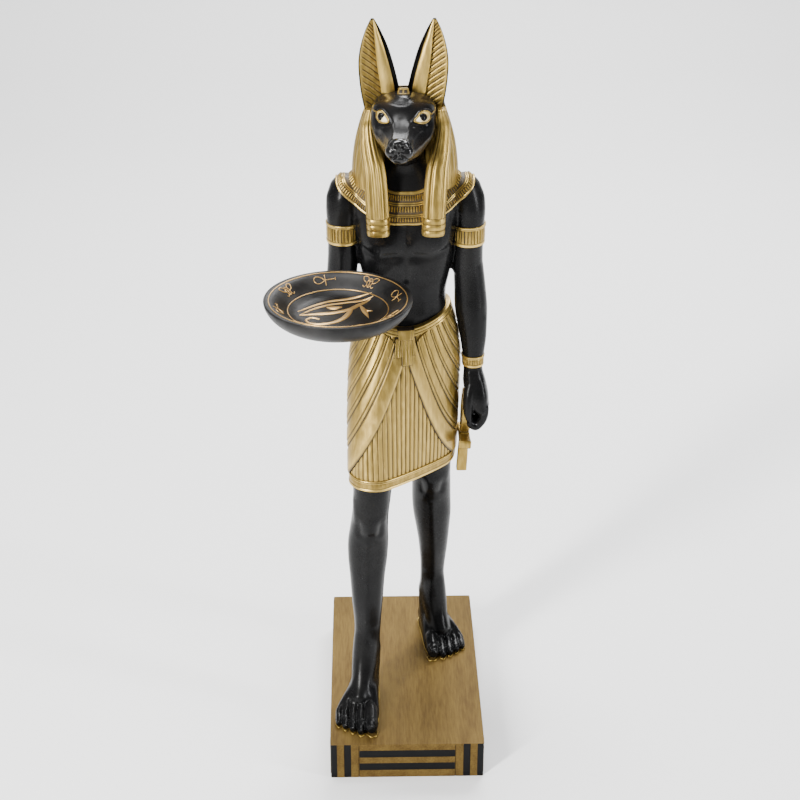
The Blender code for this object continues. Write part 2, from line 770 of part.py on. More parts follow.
@lru_cache(maxsize=None)
def kilt_ring(z):
    """The kilt's outline at one height: a soft hull round both thighs and the hips.

    Gives the points, their outward directions and the distance round from the front middle.
    """
    row = smooth_rows(KILT, [z])[0]
    turn = np.linspace(0, 2 * math.pi, 721)
    c, s = np.cos(turn), np.sin(turn)
    softness = 3.0
    shapes = (
        (row[1], row[2], row[3], row[3]),
        (row[4], row[5], row[6], row[7]),
        (0, 0, row[8], row[9]),
    )
    reach = [x * c + y * s + np.sqrt((a * c) ** 2 + (b * s) ** 2) for x, y, a, b in shapes]
    support = softness * np.log(sum(np.exp(r / softness) for r in reach))
    slope = np.gradient(support, turn, edge_order=2)
    slope[0] = slope[-1] = (support[1] - support[-2]) / (2 * (turn[1] - turn[0]))
    points = np.stack([support * c - slope * s, support * s + slope * c], 1)
    away = np.stack([c, s], 1)
    front = max((i for i in range(720) if points[i, 1] < 0), key=lambda i: -abs(points[i, 0]))
    order = list(range(front, 720)) + list(range(front + 1))
    points, away = points[order], away[order]
    steps = np.linalg.norm(np.diff(points, axis=0), axis=1)
    return points, away, np.concatenate([[0.0], np.cumsum(steps)])


def kilt_point(along, z, lift=0.0):
    """A point on the kilt, a distance round from the front middle (+ towards the left arm)."""
    points, away, distance = kilt_ring(round(float(z), 2))
    place = along % distance[-1]
    p = np.array([np.interp(place, distance, points[:, i]) for i in (0, 1)])
    n = np.array([np.interp(place, distance, away[:, i]) for i in (0, 1)])
    p = p + lift * n / np.linalg.norm(n)
    return float(p[0]), float(p[1]), float(z)


def kilt_round(z):
    """The distance all the way round the kilt at a height."""
    return kilt_ring(round(float(z), 2))[2][-1]


def belt_top(along):
    """The belt's upper edge, low in front, high at the hips and low again behind."""
    rise = min(abs(along) / KILT_SIDE_PLACE, 1.0)
    dip = min(max(abs(along) / KILT_SIDE_PLACE - 1.05, 0.0), 1.0)
    high = KILT_TOP_FRONT + (KILT_TOP_SIDE - KILT_TOP_FRONT) * rise * rise * (3 - 2 * rise)
    return high - (KILT_TOP_SIDE - KILT_TOP_BACK) * dip * dip * (3 - 2 * dip)


def kilt_columns():
    """Places round the kilt: every pleat's ridge and groove in front, fewer behind."""
    last = 2 * PLEATS_EACH_SIDE
    front = [(PLEAT_PITCH / 2 * j, None, j) for j in range(-last, last + 1)]
    behind = [(None, (k + 1) / 13, 0) for k in range(12)]
    return front + behind


def column_place(column, z):
    """The distance round the kilt of a column at a height."""
    fixed, share, _ = column
    if fixed is not None:
        return fixed
    edge = PLEAT_PITCH * PLEATS_EACH_SIDE
    return edge + share * (kilt_round(z) - 2 * edge)


def folded_back(along, z):
    """The distance from the front middle, negative on the right side."""
    whole = kilt_round(z)
    return along if along <= whole / 2 else along - whole


def kilt_solids():
    """The pleated skirt, the draped wrap over it, hem band, belt, knot and its hanging ends."""
    columns = kilt_columns()
    rings = []
    for share in (0.0, 0.3, 0.65, 1.0):
        ring = []
        for column in columns:
            z = KILT_HEM + share * (KILT_TOP_FRONT - 6.0 - KILT_HEM)
            groove = -PLEAT_DEPTH * (column[2] % 2)
            ring.append(kilt_point(column_place(column, z), z, groove))
        rings.append(ring)
    solids = [loft("skirt", rings)]
    solids.append(drape_solid())
    top = KILT_TOP_FRONT
    solids.append(kilt_band("hem_band", lambda a: KILT_HEM + HEM_BAND, lambda a: KILT_HEM - 0.6, 1.9, 32))
    solids.append(kilt_band("belt", belt_top, lambda a: belt_top(a) - BELT_HEIGHT, 2.9, 32))
    solids.append(kilt_patch("belt_knot", (-8.5, 8.5), (-7.5, 7.5), top + 1, top - 10, 5.2))
    solids.append(kilt_patch("knot_end", (-5, 5), (-5, 5), top - 9, top - 38, 5.6))
    for side in (-1, 1):
        solids.append(
            kilt_patch(
                "knot_side",
                tuple(sorted((side * 4, side * 9))),
                tuple(sorted((side * 4, side * 13))),
                top - 9,
                top - 31,
                4.6,
            )
        )
    return solids


def kilt_band(name, top, bottom, lift, columns):
    """A raised band all the way round the kilt between two edges."""
    outer, inner = [[], []], [[], []]
    for k in range(columns):
        share = k / columns
        for row, edge in ((0, top), (1, bottom)):
            z = edge(0.0)
            for _ in range(3):
                along = share * kilt_round(z)
                z = edge(folded_back(along, z))
            along = share * kilt_round(z)
            outer[row].append(kilt_point(along, z, lift))
            inner[row].append(kilt_point(along, z, -9.0))
    return slab(name, outer, inner, around=True)


def kilt_patch(name, top_span, bottom_span, top, bottom, lift):
    """A raised flap on the kilt, its span round the front given at its top and bottom edge."""
    outer, inner = [], []
    for i in range(3):
        share = i / 2
        z = top + (bottom - top) * share
        left = top_span[0] + (bottom_span[0] - top_span[0]) * share
        right = top_span[1] + (bottom_span[1] - top_span[1]) * share
        row_out, row_in = [], []
        for j in range(3):
            along = left + (right - left) * j / 2
            row_out.append(kilt_point(along, z, lift - 0.5 * share))
            row_in.append(kilt_point(along, z, -1.5))
        outer.append(row_out)
        inner.append(row_in)
    return slab(name, outer, inner)


def drape_place(fold, share, side):
    """A point of the wrap: fold 0 lies under the belt, 1 is its front edge; share runs to the back."""
    start_along = 3.0 + 66.0 * (1 - fold)
    start_z = belt_top(start_along) - 8.0 - 30.0 * fold**7
    lowest = KILT_HEM + HEM_BAND - 2.0
    end_z = lowest + (KILT_TOP_BACK - 8.0 - lowest) * (1 - fold)
    fall = max(0.0, 1 - share / 0.42) ** 1.25
    z = end_z + (start_z - end_z) * fall
    along = start_along + (kilt_round(z) / 2 - start_along) * share
    return side * along, z


def drape_solid():
    """The cloth wrapped from the knot round the hips, with folds that fan out from the knot."""
    shares = (0.0, 0.08, 0.17, 0.26, 0.35, 0.45, 0.7, 1.0)
    path = [(share, -1) for share in shares] + [(share, 1) for share in reversed(shares[:-1])]
    outer, inner = [], []
    rows = 2 * FOLDS + 1
    for r in range(rows):
        fold = (r + 0.7 * (r % 2)) / (rows - 1)
        ridge = DRAPE_LIFT - FOLD_DEPTH * (r % 2)
        row_out, row_in = [], []
        for share, side in path:
            along, z = drape_place(fold, share, side)
            row_out.append(kilt_point(along, z, ridge))
            row_in.append(kilt_point(along, z, -9.0))
        outer.append(row_out)
        inner.append(row_in)
    return slab("drape", outer, inner)


def ankh_place(across, y, z):
    """A point of the ankh, which leans outwards towards its loop."""
    return ANKH_FOOT_X + ANKH_LEAN * (z - ANKH_FOOT_Z) + across, ANKH_Y + y, z


def ankh_solids():
    """The looped cross hanging edge-on from the fist: loop, crossbar and stem."""
    loop = []
    for k in range(14):
        turn = 2 * math.pi * k / 14
        pull = 1.0 - 0.35 * max(0.0, -math.cos(turn)) ** 1.5
        loop.append((math.sin(turn) * pull, math.cos(turn)))
    outer, inner = [[], []], [[], []]
    for y, z in loop:
        for row, side in ((0, -1), (1, 1)):
            across = side * ANKH_LOOP_HALF
            outer[row].append(ankh_place(across, 19 * y, ANKH_LOOP_Z + 30 * z))
            inner[row].append(ankh_place(across, 11 * y, ANKH_LOOP_Z + 1.5 + 21 * z))
    solids = [slab("ankh_loop", outer, inner, around=True)]
    rings = []
    for y, tall, half in ((-27, 5.2, 7.4), (-6, 4.0, 6.6), (6, 4.0, 6.6), (27, 5.2, 7.4)):
        corners = ((-half, -tall), (half, -tall), (half, tall), (-half, tall))
        rings.append([ankh_place(x, y, ANKH_BAR_Z + dz) for x, dz in corners])
    solids.append(loft("ankh_bar", rings))
    rings = []
    for z, wide, half in ((ANKH_FOOT_Z, 6.4, 6.3), (340, 4.6, 6.0), (ANKH_BAR_Z + 5, 4.4, 6.0)):
        corners = ((-half, -wide), (half, -wide), (half, wide), (-half, wide))
        rings.append([ankh_place(x, dy, z) for x, dy in corners])
    solids.append(loft("ankh_stem", rings))
    return solids


def dish_inside(radius):
    """The depth of the dish's inner face below its rim at a distance from its middle."""
    share = np.array(DISH_INNER_SHARES) * (DISH_RADIUS - DISH_LIP)
    deepest = DISH_HEIGHT - DISH_FOOT_RECESS - DISH_FLOOR
    depth = np.array(DISH_DEPTH_SHARES) * deepest
    return float(np.interp(radius, share, depth))


def dish_profile():
    """Half section of the dish from the middle of its floor over the rim to the middle below."""
    inner = [share * (DISH_RADIUS - DISH_LIP) for share in DISH_INNER_SHARES]
    points = [(r, DISH_HEIGHT - dish_inside(r)) for r in inner]
    span = DISH_RADIUS - DISH_FOOT_RADIUS
    for turn in (0, 20, 42, 66, 90):
        a = math.radians(turn)
        points.append(
            (
                DISH_FOOT_RADIUS + span * math.cos(a),
                DISH_HEIGHT - 0.0012 - (DISH_HEIGHT - 0.0036) * math.sin(a) ** 1.15,
            )
        )
    points.append((DISH_FOOT_RADIUS - 0.001, 0.0))
    points.append((DISH_FOOT_RADIUS - 0.006, 0.0))
    points.append((DISH_FOOT_RADIUS - 0.0075, DISH_FOOT_RECESS))
    points.append((0.0, DISH_FOOT_RECESS))
    return points


def turned(name, profile, sides, clearance=0.0):
    """A solid of revolution from a half section, by a Screw modifier, grown by a clearance."""
    mesh = bpy.data.meshes.new(name)
    grown = profile
    if clearance:
        grown = []
        for i, (r, z) in enumerate(profile):
            a, b = profile[max(i - 1, 0)], profile[min(i + 1, len(profile) - 1)]
            dr, dz = b[0] - a[0], b[1] - a[1]
            size = math.hypot(dr, dz)
            grown.append((0.0 if r == 0 else r - dz / size * clearance, z + dr / size * clearance))
    points = [(r, 0.0, z) for r, z in grown]
    mesh.from_pydata(points, [(i, i + 1) for i in range(len(points) - 1)], [])
    made = bpy.data.objects.new(name, mesh)
    bpy.context.scene.collection.objects.link(made)
    screw = made.modifiers.new("turn", "SCREW")
    screw.steps = sides
    screw.render_steps = sides
    screw.use_merge_vertices = True
    screw.merge_threshold = 0.00001
    return made


def eye_strokes():
    """The eye symbol's strokes: points and half widths as shares of the dish's floor radius."""
    return {
        "brow": [
            (-0.81, 0.07, 0.03), (-0.49, 0.38, 0.045), (-0.2, 0.59, 0.05),
            (0.12, 0.7, 0.05), (0.6, 0.79, 0.04),
        ],
        "upper_lid": [
            (-0.76, -0.06, 0.03), (-0.41, 0.3, 0.05), (-0.2, 0.45, 0.05),
            (0.12, 0.53, 0.05), (0.68, 0.63, 0.07),
        ],
        "lower_lid": [
            (-0.76, -0.09, 0.03), (-0.4, -0.01, 0.05), (0.0, 0.07, 0.055),
            (0.25, 0.22, 0.06), (0.48, 0.56, 0.06),
        ],
        "pupil": [(-0.2, 0.34, 0.05), (-0.08, 0.3, 0.1), (0.06, 0.33, 0.04)],
        "fall": [(0.44, 0.4, 0.06), (0.51, 0.12, 0.07), (0.6, -0.22, 0.03)],
        "curl": [
            (0.32, 0.26, 0.09), (0.23, -0.02, 0.08), (0.1, -0.32, 0.065), (-0.18, -0.53, 0.055),
            (-0.43, -0.57, 0.05), (-0.6, -0.44, 0.05), (-0.58, -0.28, 0.05), (-0.36, -0.3, 0.08),
        ],
    }


def dish_solid():
    """The dish with its eye symbol in low relief, standing in its own place over the palm."""
    floor = 0.675 * DISH_RADIUS
    body = turned("dish_body", dish_profile(), DISH_SIDES)
    graph = bpy.context.evaluated_depsgraph_get()
    mesh = bpy.data.meshes.new_from_object(body.evaluated_get(graph))
    bpy.data.objects.remove(body)
    solid = bpy.data.objects.new("dish_body", mesh)
    bpy.context.scene.collection.objects.link(solid)
    strokes = []
    for label, stroke in eye_strokes().items():
        outer, inner = [[], []], [[], []]
        for k, (x, y, half) in enumerate(stroke):
            a, b = stroke[max(k - 1, 0)], stroke[min(k + 1, len(stroke) - 1)]
            along = Vector((b[0] - a[0], b[1] - a[1])).normalized()
            for row, side in ((0, -1), (1, 1)):
                px = (x - side * along.y * half) * floor
                py = (y + side * along.x * half) * floor
                level = DISH_HEIGHT - dish_inside(math.hypot(px, py))
                outer[row].append((px, py, level + DISH_SYMBOL_HEIGHT))
                inner[row].append((px, py, level - DISH_SYMBOL_HEIGHT))
        strokes.append(slab(label, outer, inner))
    return united("dish", [solid] + strokes)


def dish_place():
    """The matrix that puts the dish on the palm."""
    return Matrix.Translation(
        (PALM_CENTRE[0] * UNIT, PALM_CENTRE[1] * UNIT, SOLE_LEVEL + PALM_LEVEL * UNIT + FIT_GAP)
    )


def figure_object():
    """The whole cast figure as one solid, scaled to its height and stood on the plinth."""
    body = [
        upright("torso", TORSO, 14, 22),
        upright("left_upper_arm", LEFT_UPPER_ARM, 7, 12),
        upright("left_forearm", LEFT_FOREARM, 12, 12),
        upright("right_upper_arm", RIGHT_UPPER_ARM, 7, 12),
        level_limb("right_forearm", RIGHT_FOREARM, 10, 12),
        upright("front_leg", FRONT_LEG, 11, 14),
        upright("back_leg", BACK_LEG, 11, 14),
        ellipsoid("elbow", (-74.5, 2, 548), (17.6, 18, 22)),
    ]
    bare = united("bare_trunk", body)
    collar = collar_solid(bare)
    pieces = [bare]
    pieces += foot_solids("front_foot", FRONT_FOOT)
    pieces += foot_solids("back_foot", BACK_FOOT)
    pieces += left_fist()
    pieces += right_hand()
    pieces += head_solids()
    pieces += [ear_solid(-1), ear_solid(1)]
    pieces += wig_solids()
    pieces.append(collar)
    pieces.append(band("left_armlet", LEFT_UPPER_ARM, *ARMLET))
    pieces.append(band("right_armlet", RIGHT_UPPER_ARM, *ARMLET))
    pieces.append(band("left_bracelet", LEFT_FOREARM, *BRACELET))
    pieces += kilt_solids()
    pieces += ankh_solids()
    cast = thinned(without_crumbs(united("cast", pieces)), THINNING)
    cast.data.transform(Matrix.Translation((0, 0, SOLE_LEVEL)) @ Matrix.Scale(UNIT, 4))
    cutter = turned("dish_room", dish_profile(), DISH_SIDES, clearance=FIT_GAP)
    graph = bpy.context.evaluated_depsgraph_get()
    mesh = bpy.data.meshes.new_from_object(cutter.evaluated_get(graph))
    bpy.data.objects.remove(cutter)
    room = bpy.data.objects.new("dish_room_mesh", mesh)
    bpy.context.scene.collection.objects.link(room)
    room.data.transform(dish_place())
    return without_crumbs(united("figure", [cast], cutter=room))


def plinth_object():
    """The block under the feet, its edges a little rounded."""
    bpy.ops.mesh.primitive_cube_add(size=1.0)
    block = bpy.context.object
    block.name = "plinth"
    block.data.transform(
        Matrix.Translation((0, 0, PLINTH_HEIGHT / 2))
        @ Matrix.Diagonal((PLINTH_WIDTH, PLINTH_DEPTH, PLINTH_HEIGHT, 1))
    )
    bevel = block.modifiers.new("rounded_edges", "BEVEL")
    bevel.width = PLINTH_ROUNDING
    bevel.segments = 2
    return block


def main():
    """Builds the statue's three pieces in a collection of their own."""
    for old in list(bpy.data.objects):
        bpy.data.objects.remove(old)
    plinth = plinth_object()
    figure = figure_object()
    dish = dish_solid()
    dish.data.transform(dish_place())
    statue = bpy.data.collections.new("butler_statue")
    bpy.context.scene.collection.children.link(statue)
    for piece, paint in ((plinth, "plinth_gold"), (figure, "figure_black"), (dish, "dish_black")):
        for group in list(piece.users_collection):
            group.objects.unlink(piece)
        statue.objects.link(piece)
        piece.data.materials.clear()
        piece.data.materials.append(material(paint))


main()
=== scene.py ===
"""The jackal-headed butler statue, dressed: satin black skin, antique gold dress, dish and plinth.

Every shape is drawn in the figure's own units, thousandths of a metre measured from its soles,
facing -Y with its left arm on +X, and is carried to the room's metres when it is published.
"""

from __future__ import annotations

import logging
import math
from dataclasses import dataclass, field
from enum import Enum
from typing import Any, Iterable, Sequence

import bmesh
import bpy
import numpy as np
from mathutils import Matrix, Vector
from mathutils.bvhtree import BVHTree

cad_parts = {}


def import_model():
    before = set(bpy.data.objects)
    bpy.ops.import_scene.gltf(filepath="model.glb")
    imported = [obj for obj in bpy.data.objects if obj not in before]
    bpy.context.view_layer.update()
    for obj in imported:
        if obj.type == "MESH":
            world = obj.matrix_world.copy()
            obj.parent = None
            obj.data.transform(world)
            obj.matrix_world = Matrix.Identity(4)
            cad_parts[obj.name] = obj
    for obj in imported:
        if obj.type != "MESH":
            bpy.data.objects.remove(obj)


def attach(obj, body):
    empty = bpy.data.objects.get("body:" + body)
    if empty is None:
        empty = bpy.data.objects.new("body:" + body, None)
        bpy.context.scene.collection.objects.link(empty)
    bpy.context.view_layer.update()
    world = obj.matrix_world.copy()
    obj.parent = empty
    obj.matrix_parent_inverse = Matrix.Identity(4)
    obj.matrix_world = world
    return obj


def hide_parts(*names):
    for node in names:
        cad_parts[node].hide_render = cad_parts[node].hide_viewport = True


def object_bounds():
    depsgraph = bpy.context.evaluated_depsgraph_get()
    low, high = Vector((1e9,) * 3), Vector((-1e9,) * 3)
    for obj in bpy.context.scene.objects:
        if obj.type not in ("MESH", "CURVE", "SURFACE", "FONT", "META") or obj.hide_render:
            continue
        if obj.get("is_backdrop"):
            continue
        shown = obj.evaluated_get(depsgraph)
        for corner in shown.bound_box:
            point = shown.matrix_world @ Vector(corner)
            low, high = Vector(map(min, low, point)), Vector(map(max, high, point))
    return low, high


log = logging.getLogger("butler_statue")

MM = 0.001
SOLE_LEVEL = 50.8
HEAD_TURN = math.radians(4.5)

Table = tuple[tuple[float, ...], ...]
Path = Sequence[Sequence[float]]


class Paint(Enum):
    """The finishes that the statue wears."""

    SKIN = "satin_black"
    NOSE = "gloss_black"
    GOLD = "antique_gold"
    CLOTH = "kilt_gold"
    PLINTH = "brushed_gold"
    DISH = "dish_black"
    DISH_GOLD = "symbol_gold"
    EYE = "eye_cream"
    PUPIL = "pupil_black"


class Node(Enum):
    """The cast pieces of the statue, each with the material slot of its finish."""

    PLINTH = ("plinth", "plinth_gold")
    FIGURE = ("figure", "figure_black")
    DISH = ("dish", "dish_black")


class Side(Enum):
    """The figure's right and left, as the sign of x."""

    RIGHT = -1
    LEFT = 1


# Curves and tables.


def hermite(values: np.ndarray, slopes: np.ndarray, *, i: Any, t: Any, step: Any) -> np.ndarray:
    """Values a share t of the way along the smooth curve piece after each index i."""
    return (
        (2 * t**3 - 3 * t**2 + 1) * values[i]
        + (t**3 - 2 * t**2 + t) * step * slopes[i]
        + (3 * t**2 - 2 * t**3) * values[i + 1]
        + (t**3 - t**2) * step * slopes[i + 1]
    )


def smooth_rows(rows: Table, places: Iterable[float]) -> np.ndarray:
    """Reads a table at new values of its first column on a smooth curve through its rows.

    Args:
        rows: The table, one row for each place along a form.
        places: The values of the first column to read at.

    Returns:
        One row of values for each place.
    """
    table = np.array(sorted(rows), float)
    x = table[:, 0]
    slopes = np.gradient(table, x, axis=0)
    wanted = np.clip(np.asarray(list(places), float), x[0], x[-1])
    i = np.clip(np.searchsorted(x, wanted) - 1, 0, len(x) - 2)
    step = (x[i + 1] - x[i])[:, None]
    t = (wanted[:, None] - x[i][:, None]) / step
    return hermite(table, slopes, i=i, t=t, step=step)


def evenly(rows: Table, count: int) -> np.ndarray:
    """Reads a table at evenly shared places from its first row to its last."""
    places = np.array([row[0] for row in rows], float)
    steps = np.interp(np.linspace(0, 1, count), np.linspace(0, 1, len(places)), places)
    return smooth_rows(rows, steps)


def smooth_path(path: Path, count: int, closed: bool = False) -> np.ndarray:
    """Points on a smooth curve through a few given ones, evenly spaced.

    Args:
        path: The given points.
        count: How many points to return.
        closed: Whether the curve runs back to its start.

    Returns:
        An array of points.
    """
    given = np.array(path, float)
    if closed:
        given = np.vstack([given[-2:], given, given[:2]])
    steps = np.linalg.norm(np.diff(given, axis=0), axis=1)
    distance = np.concatenate([[0.0], np.cumsum(steps)])
    slopes = np.gradient(given, distance, axis=0)
    first, last = (distance[2], distance[-2]) if closed else (0.0, distance[-1])
    wanted = np.linspace(first, last, count, endpoint=not closed)
    i = np.clip(np.searchsorted(distance, wanted) - 1, 0, len(distance) - 2)
    step = (distance[i + 1] - distance[i])[:, None]
    t = (wanted - distance[i])[:, None] / step
    return hermite(given, slopes, i=i, t=t, step=step)


def smoothstep(x: np.ndarray) -> np.ndarray:
    """A soft step from 0 to 1."""
    x = np.clip(x, 0.0, 1.0)
    return x * x * (3 - 2 * x)


def oval(width: float, ahead: float, behind: float, square: float, sides: int) -> np.ndarray:
    """Points of a squared oval about the origin, anticlockwise, with ahead towards -y."""
    turn = 2 * np.pi * np.arange(sides) / sides
    c, s = np.cos(turn), np.sin(turn)
    depth = np.where(s > 0, behind, ahead)
    power = 2 / square
    x = np.copysign(np.abs(c) ** power, c) * width
    y = np.copysign(np.abs(s) ** power, s) * depth
    return np.stack([x, y], 1)


def at_height(ring: np.ndarray, z: float) -> np.ndarray:
    """A flat ring of points lifted to one height."""
    return np.column_stack([ring, np.full(len(ring), z)])


def turned_with_head(points: np.ndarray) -> np.ndarray:
    """Places points of the head, given as side, forwards and height when it faces straight ahead."""
    p = np.atleast_2d(np.asarray(points, float))
    c, s = math.cos(HEAD_TURN), math.sin(HEAD_TURN)
    x, ahead = p[:, 0], p[:, 1]
    return np.stack([-1.0 + x * c - ahead * s, -x * s - ahead * c, p[:, 2]], 1)


# Meshes.


@dataclass
class Form:
    """A closed mesh in the figure's units, with marks stored at its points."""

    name: str
    points: np.ndarray
    faces: list[tuple[int, ...]]
    marks: dict[str, np.ndarray] = field(default_factory=dict)

    def raw_object(self) -> bpy.types.Object:
        """Makes a plain object of the form, still in the figure's units."""
        mesh = bpy.data.meshes.new(self.name)
        mesh.from_pydata(self.points.tolist(), [], self.faces)
        made = bpy.data.objects.new(self.name, mesh)
        bpy.context.scene.collection.objects.link(made)
        return made

    def normals(self) -> np.ndarray:
        """Outward directions at the points, from the faces' own directions."""
        total = np.zeros_like(self.points)
        quads = np.array([f for f in self.faces if len(f) == 4])
        if len(quads):
            p = self.points[quads]
            n = np.cross(p[:, 2] - p[:, 0], p[:, 3] - p[:, 1])
            for k in range(4):
                for axis in range(3):
                    total[:, axis] += np.bincount(quads[:, k], n[:, axis], len(self.points))
        for face in self.faces:
            if len(face) == 3:
                a, b, c = self.points[list(face)]
                total[list(face)] += np.cross(b - a, c - a)
        return total / np.maximum(np.linalg.norm(total, axis=1, keepdims=True), 1e-9)

    def relaxed(self, rounds: int, amount: np.ndarray | float = 1.0, back: float = -0.57) -> "Form":
        """Evens out the surface without shrinking it, or blends broadly where nothing is moved back.

        Args:
            rounds: How many times each point moves towards its neighbours and back.
            amount: The share of each move, one for all or one for each point.
            back: The move back, 0 for none.

        Returns:
            The same form, changed.
        """
        starts = np.concatenate([np.array(f) for f in self.faces])
        ends = np.concatenate([np.roll(np.array(f), -1) for f in self.faces])
        count = np.maximum(np.bincount(starts, minlength=len(self.points)), 1)[:, None]
        share = np.asarray(amount, float).reshape(-1, 1) if np.ndim(amount) else amount
        for _ in range(rounds):
            for pull in (0.55, back) if back else (0.55,):
                mean = np.stack(
                    [np.bincount(starts, self.points[ends, a], len(self.points)) for a in range(3)], 1
                )
                self.points = self.points + share * pull * (mean / count - self.points)
        return self

    def marked(self, **marks: Sequence[np.ndarray]) -> "Form":
        """Stores marks that are given ring by ring."""
        self.marks = {name: np.concatenate(rings) for name, rings in marks.items()}
        return self

    def thinned(self, most: int) -> "Form":
        """The same surface in at most so many triangles, with the fewest where it is flattest."""
        thing = self.raw_object()
        thing.data.calc_loop_triangles()
        fewer = thing.modifiers.new("fewer", "DECIMATE")
        fewer.ratio = min(1.0, most / len(thing.data.loop_triangles))
        fewer.use_collapse_triangulate = True
        return Form(self.name, *evaluated(thing))


def evaluated(thing: bpy.types.Object) -> tuple[np.ndarray, list[tuple[int, ...]]]:
    """Points and faces of an object after its modifiers, and removes the object."""
    mesh = bpy.data.meshes.new_from_object(thing.evaluated_get(bpy.context.evaluated_depsgraph_get()))
    bpy.data.objects.remove(thing)
    points = np.empty(len(mesh.vertices) * 3)
    mesh.vertices.foreach_get("co", points)
    faces = [tuple(p.vertices) for p in mesh.polygons]
    bpy.data.meshes.remove(mesh)
    return points.reshape(-1, 3), faces


def loft(name: str, rings: np.ndarray | list[np.ndarray]) -> Form:
    """A closed form through rings with the same number of points, capped at both ends."""
    rings = [np.asarray(r, float) for r in rings]
    sides = len(rings[0])
    faces: list[tuple[int, ...]] = []
    for r in range(len(rings) - 1):
        for k in range(sides):
            a, b = r * sides + k, r * sides + (k + 1) % sides
            faces.append((a, b, b + sides, a + sides))
    last = (len(rings) - 1) * sides
    faces.append(tuple(reversed(range(sides))))
    faces.append(tuple(range(last, last + sides)))
    return Form(name, np.concatenate(rings), faces)


def sheet(
    name: str,
    outer: np.ndarray,
    inner: np.ndarray,
    around: bool = False,
    marks: dict[str, np.ndarray] | None = None,
) -> Form:
    """A closed form between two grids of points.

    Args:
        name: The form's name.
        outer: The face that shows, rows by columns by three.
        inner: The face behind it, of the same shape.
        around: Whether the last column joins the first.
        marks: Values for each point of the outer grid; the inner grid repeats them.

    Returns:
        The form with its marks.
    """
    rows, columns = outer.shape[:2]
    under = rows * columns
    index = np.arange(under).reshape(rows, columns)
    following = np.roll(index, -1, axis=1) if around else index[:, 1:]
    here = index if around else index[:, :-1]
    quads = np.stack([here[:-1], following[:-1], following[1:], here[1:]], -1).reshape(-1, 4)
    faces = [tuple(q) for q in quads.tolist()]
    faces += [tuple(q) for q in (quads[:, ::-1] + under).tolist()]
    for row, flip in ((0, True), (rows - 1, False)):
        for a, b in zip(here[row].tolist(), following[row].tolist()):
            quad = (a, b, under + b, under + a)
            faces.append(tuple(reversed(quad)) if flip else quad)
    if not around:
        for column, flip in ((0, False), (columns - 1, True)):
            for r in range(rows - 1):
                a, b = int(index[r, column]), int(index[r + 1, column])
                quad = (a, b, under + b, under + a)
                faces.append(tuple(reversed(quad)) if flip else quad)
    points = np.concatenate([outer.reshape(-1, 3), inner.reshape(-1, 3)])
    kept = {k: np.tile(np.broadcast_to(v, (rows, columns)).reshape(-1), 2) for k, v in (marks or {}).items()}
    return Form(name, points, faces, kept)


def tube(name: str, path: Path, radii: Sequence[float], sides: int = 16, count: int = 28) -> Form:
    """A round-ended tube along a smooth path, its radius given at each point of the path."""
    spine = smooth_path(path, count)
    spread = np.interp(np.linspace(0, 1, count), np.linspace(0, 1, len(radii)), radii)
    ahead = np.gradient(spine, axis=0)
    ahead /= np.linalg.norm(ahead, axis=1, keepdims=True)
    rings = []
    across = np.cross(ahead[0], (0.3, 1.0, 0.2))
    for point, way, radius in zip(spine, ahead, spread):
        across = across - way * np.dot(across, way)
        across /= np.linalg.norm(across)
        other = np.cross(way, across)
        turn = 2 * np.pi * np.arange(sides)[:, None] / sides
        rings.append(point + radius * (across * np.cos(turn) + other * np.sin(turn)))
    start, end = rings[0], rings[-1]
    cap_in = spine[0] + 0.6 * (start - spine[0]) - ahead[0] * spread[0] * 0.55
    cap_out = spine[-1] + 0.6 * (end - spine[-1]) + ahead[-1] * spread[-1] * 0.55
    return loft(name, [cap_in, *rings, cap_out])


def ball(name: str, centre: Sequence[float], size: Sequence[float], turn: float = 0.0) -> Form:
    """A ball stretched to three half sizes and turned about the upright."""
    rings = []
    for low in np.linspace(-0.5, 0.5, 19)[1:-1] * np.pi:
        across = 2 * np.pi * np.arange(28) / 28
        ring = np.stack(
            [
                np.cos(low) * np.cos(across) * size[0],
                np.cos(low) * np.sin(across) * size[1],
                np.full(28, np.sin(low) * size[2]),
            ],
            1,
        )
        c, s = math.cos(turn), math.sin(turn)
        x, y = ring[:, 0] * c - ring[:, 1] * s, ring[:, 0] * s + ring[:, 1] * c
        rings.append(np.stack([x, y, ring[:, 2]], 1) + np.asarray(centre, float))
    return loft(name, rings)


def distance_from(points: np.ndarray, path: Path) -> np.ndarray:
    """How far each point is from a path of straight runs, or from its only point."""
    way = np.array(path, float)
    if len(way) == 1:
        return np.linalg.norm(points - way[0], axis=1)
    best = np.full(len(points), np.inf)
    for a, b in zip(way[:-1], way[1:]):
        run = b - a
        t = np.clip((points - a) @ run / max(run @ run, 1e-9), 0, 1)
        best = np.minimum(best, np.linalg.norm(points - (a + t[:, None] * run), axis=1))
    return best


@dataclass(frozen=True)
class Stroke:
    """A touch of the modelling tool: a path, how far it reaches and how high it raises."""

    path: Path
    reach: float
    height: float
    edge: float = 2.0


@dataclass
class Clay:
    """Overlapping closed forms that are fused into one skin and modelled with strokes."""

    name: str
    voxel: float
    forms: list[Form] = field(default_factory=list)

    def fused(self) -> Form:
        """Melts the forms into one even skin."""
        points = np.concatenate([f.points for f in self.forms])
        faces, first = [], 0
        for form in self.forms:
            faces += [tuple(i + first for i in face) for face in form.faces]
            first += len(form.points)
        lump = Form(self.name, points, faces).raw_object()
        outward(lump)
        remesh = lump.modifiers.new("skin", "REMESH")
        remesh.mode = "VOXEL"
        remesh.voxel_size = self.voxel
        return Form(self.name, *evaluated(lump))


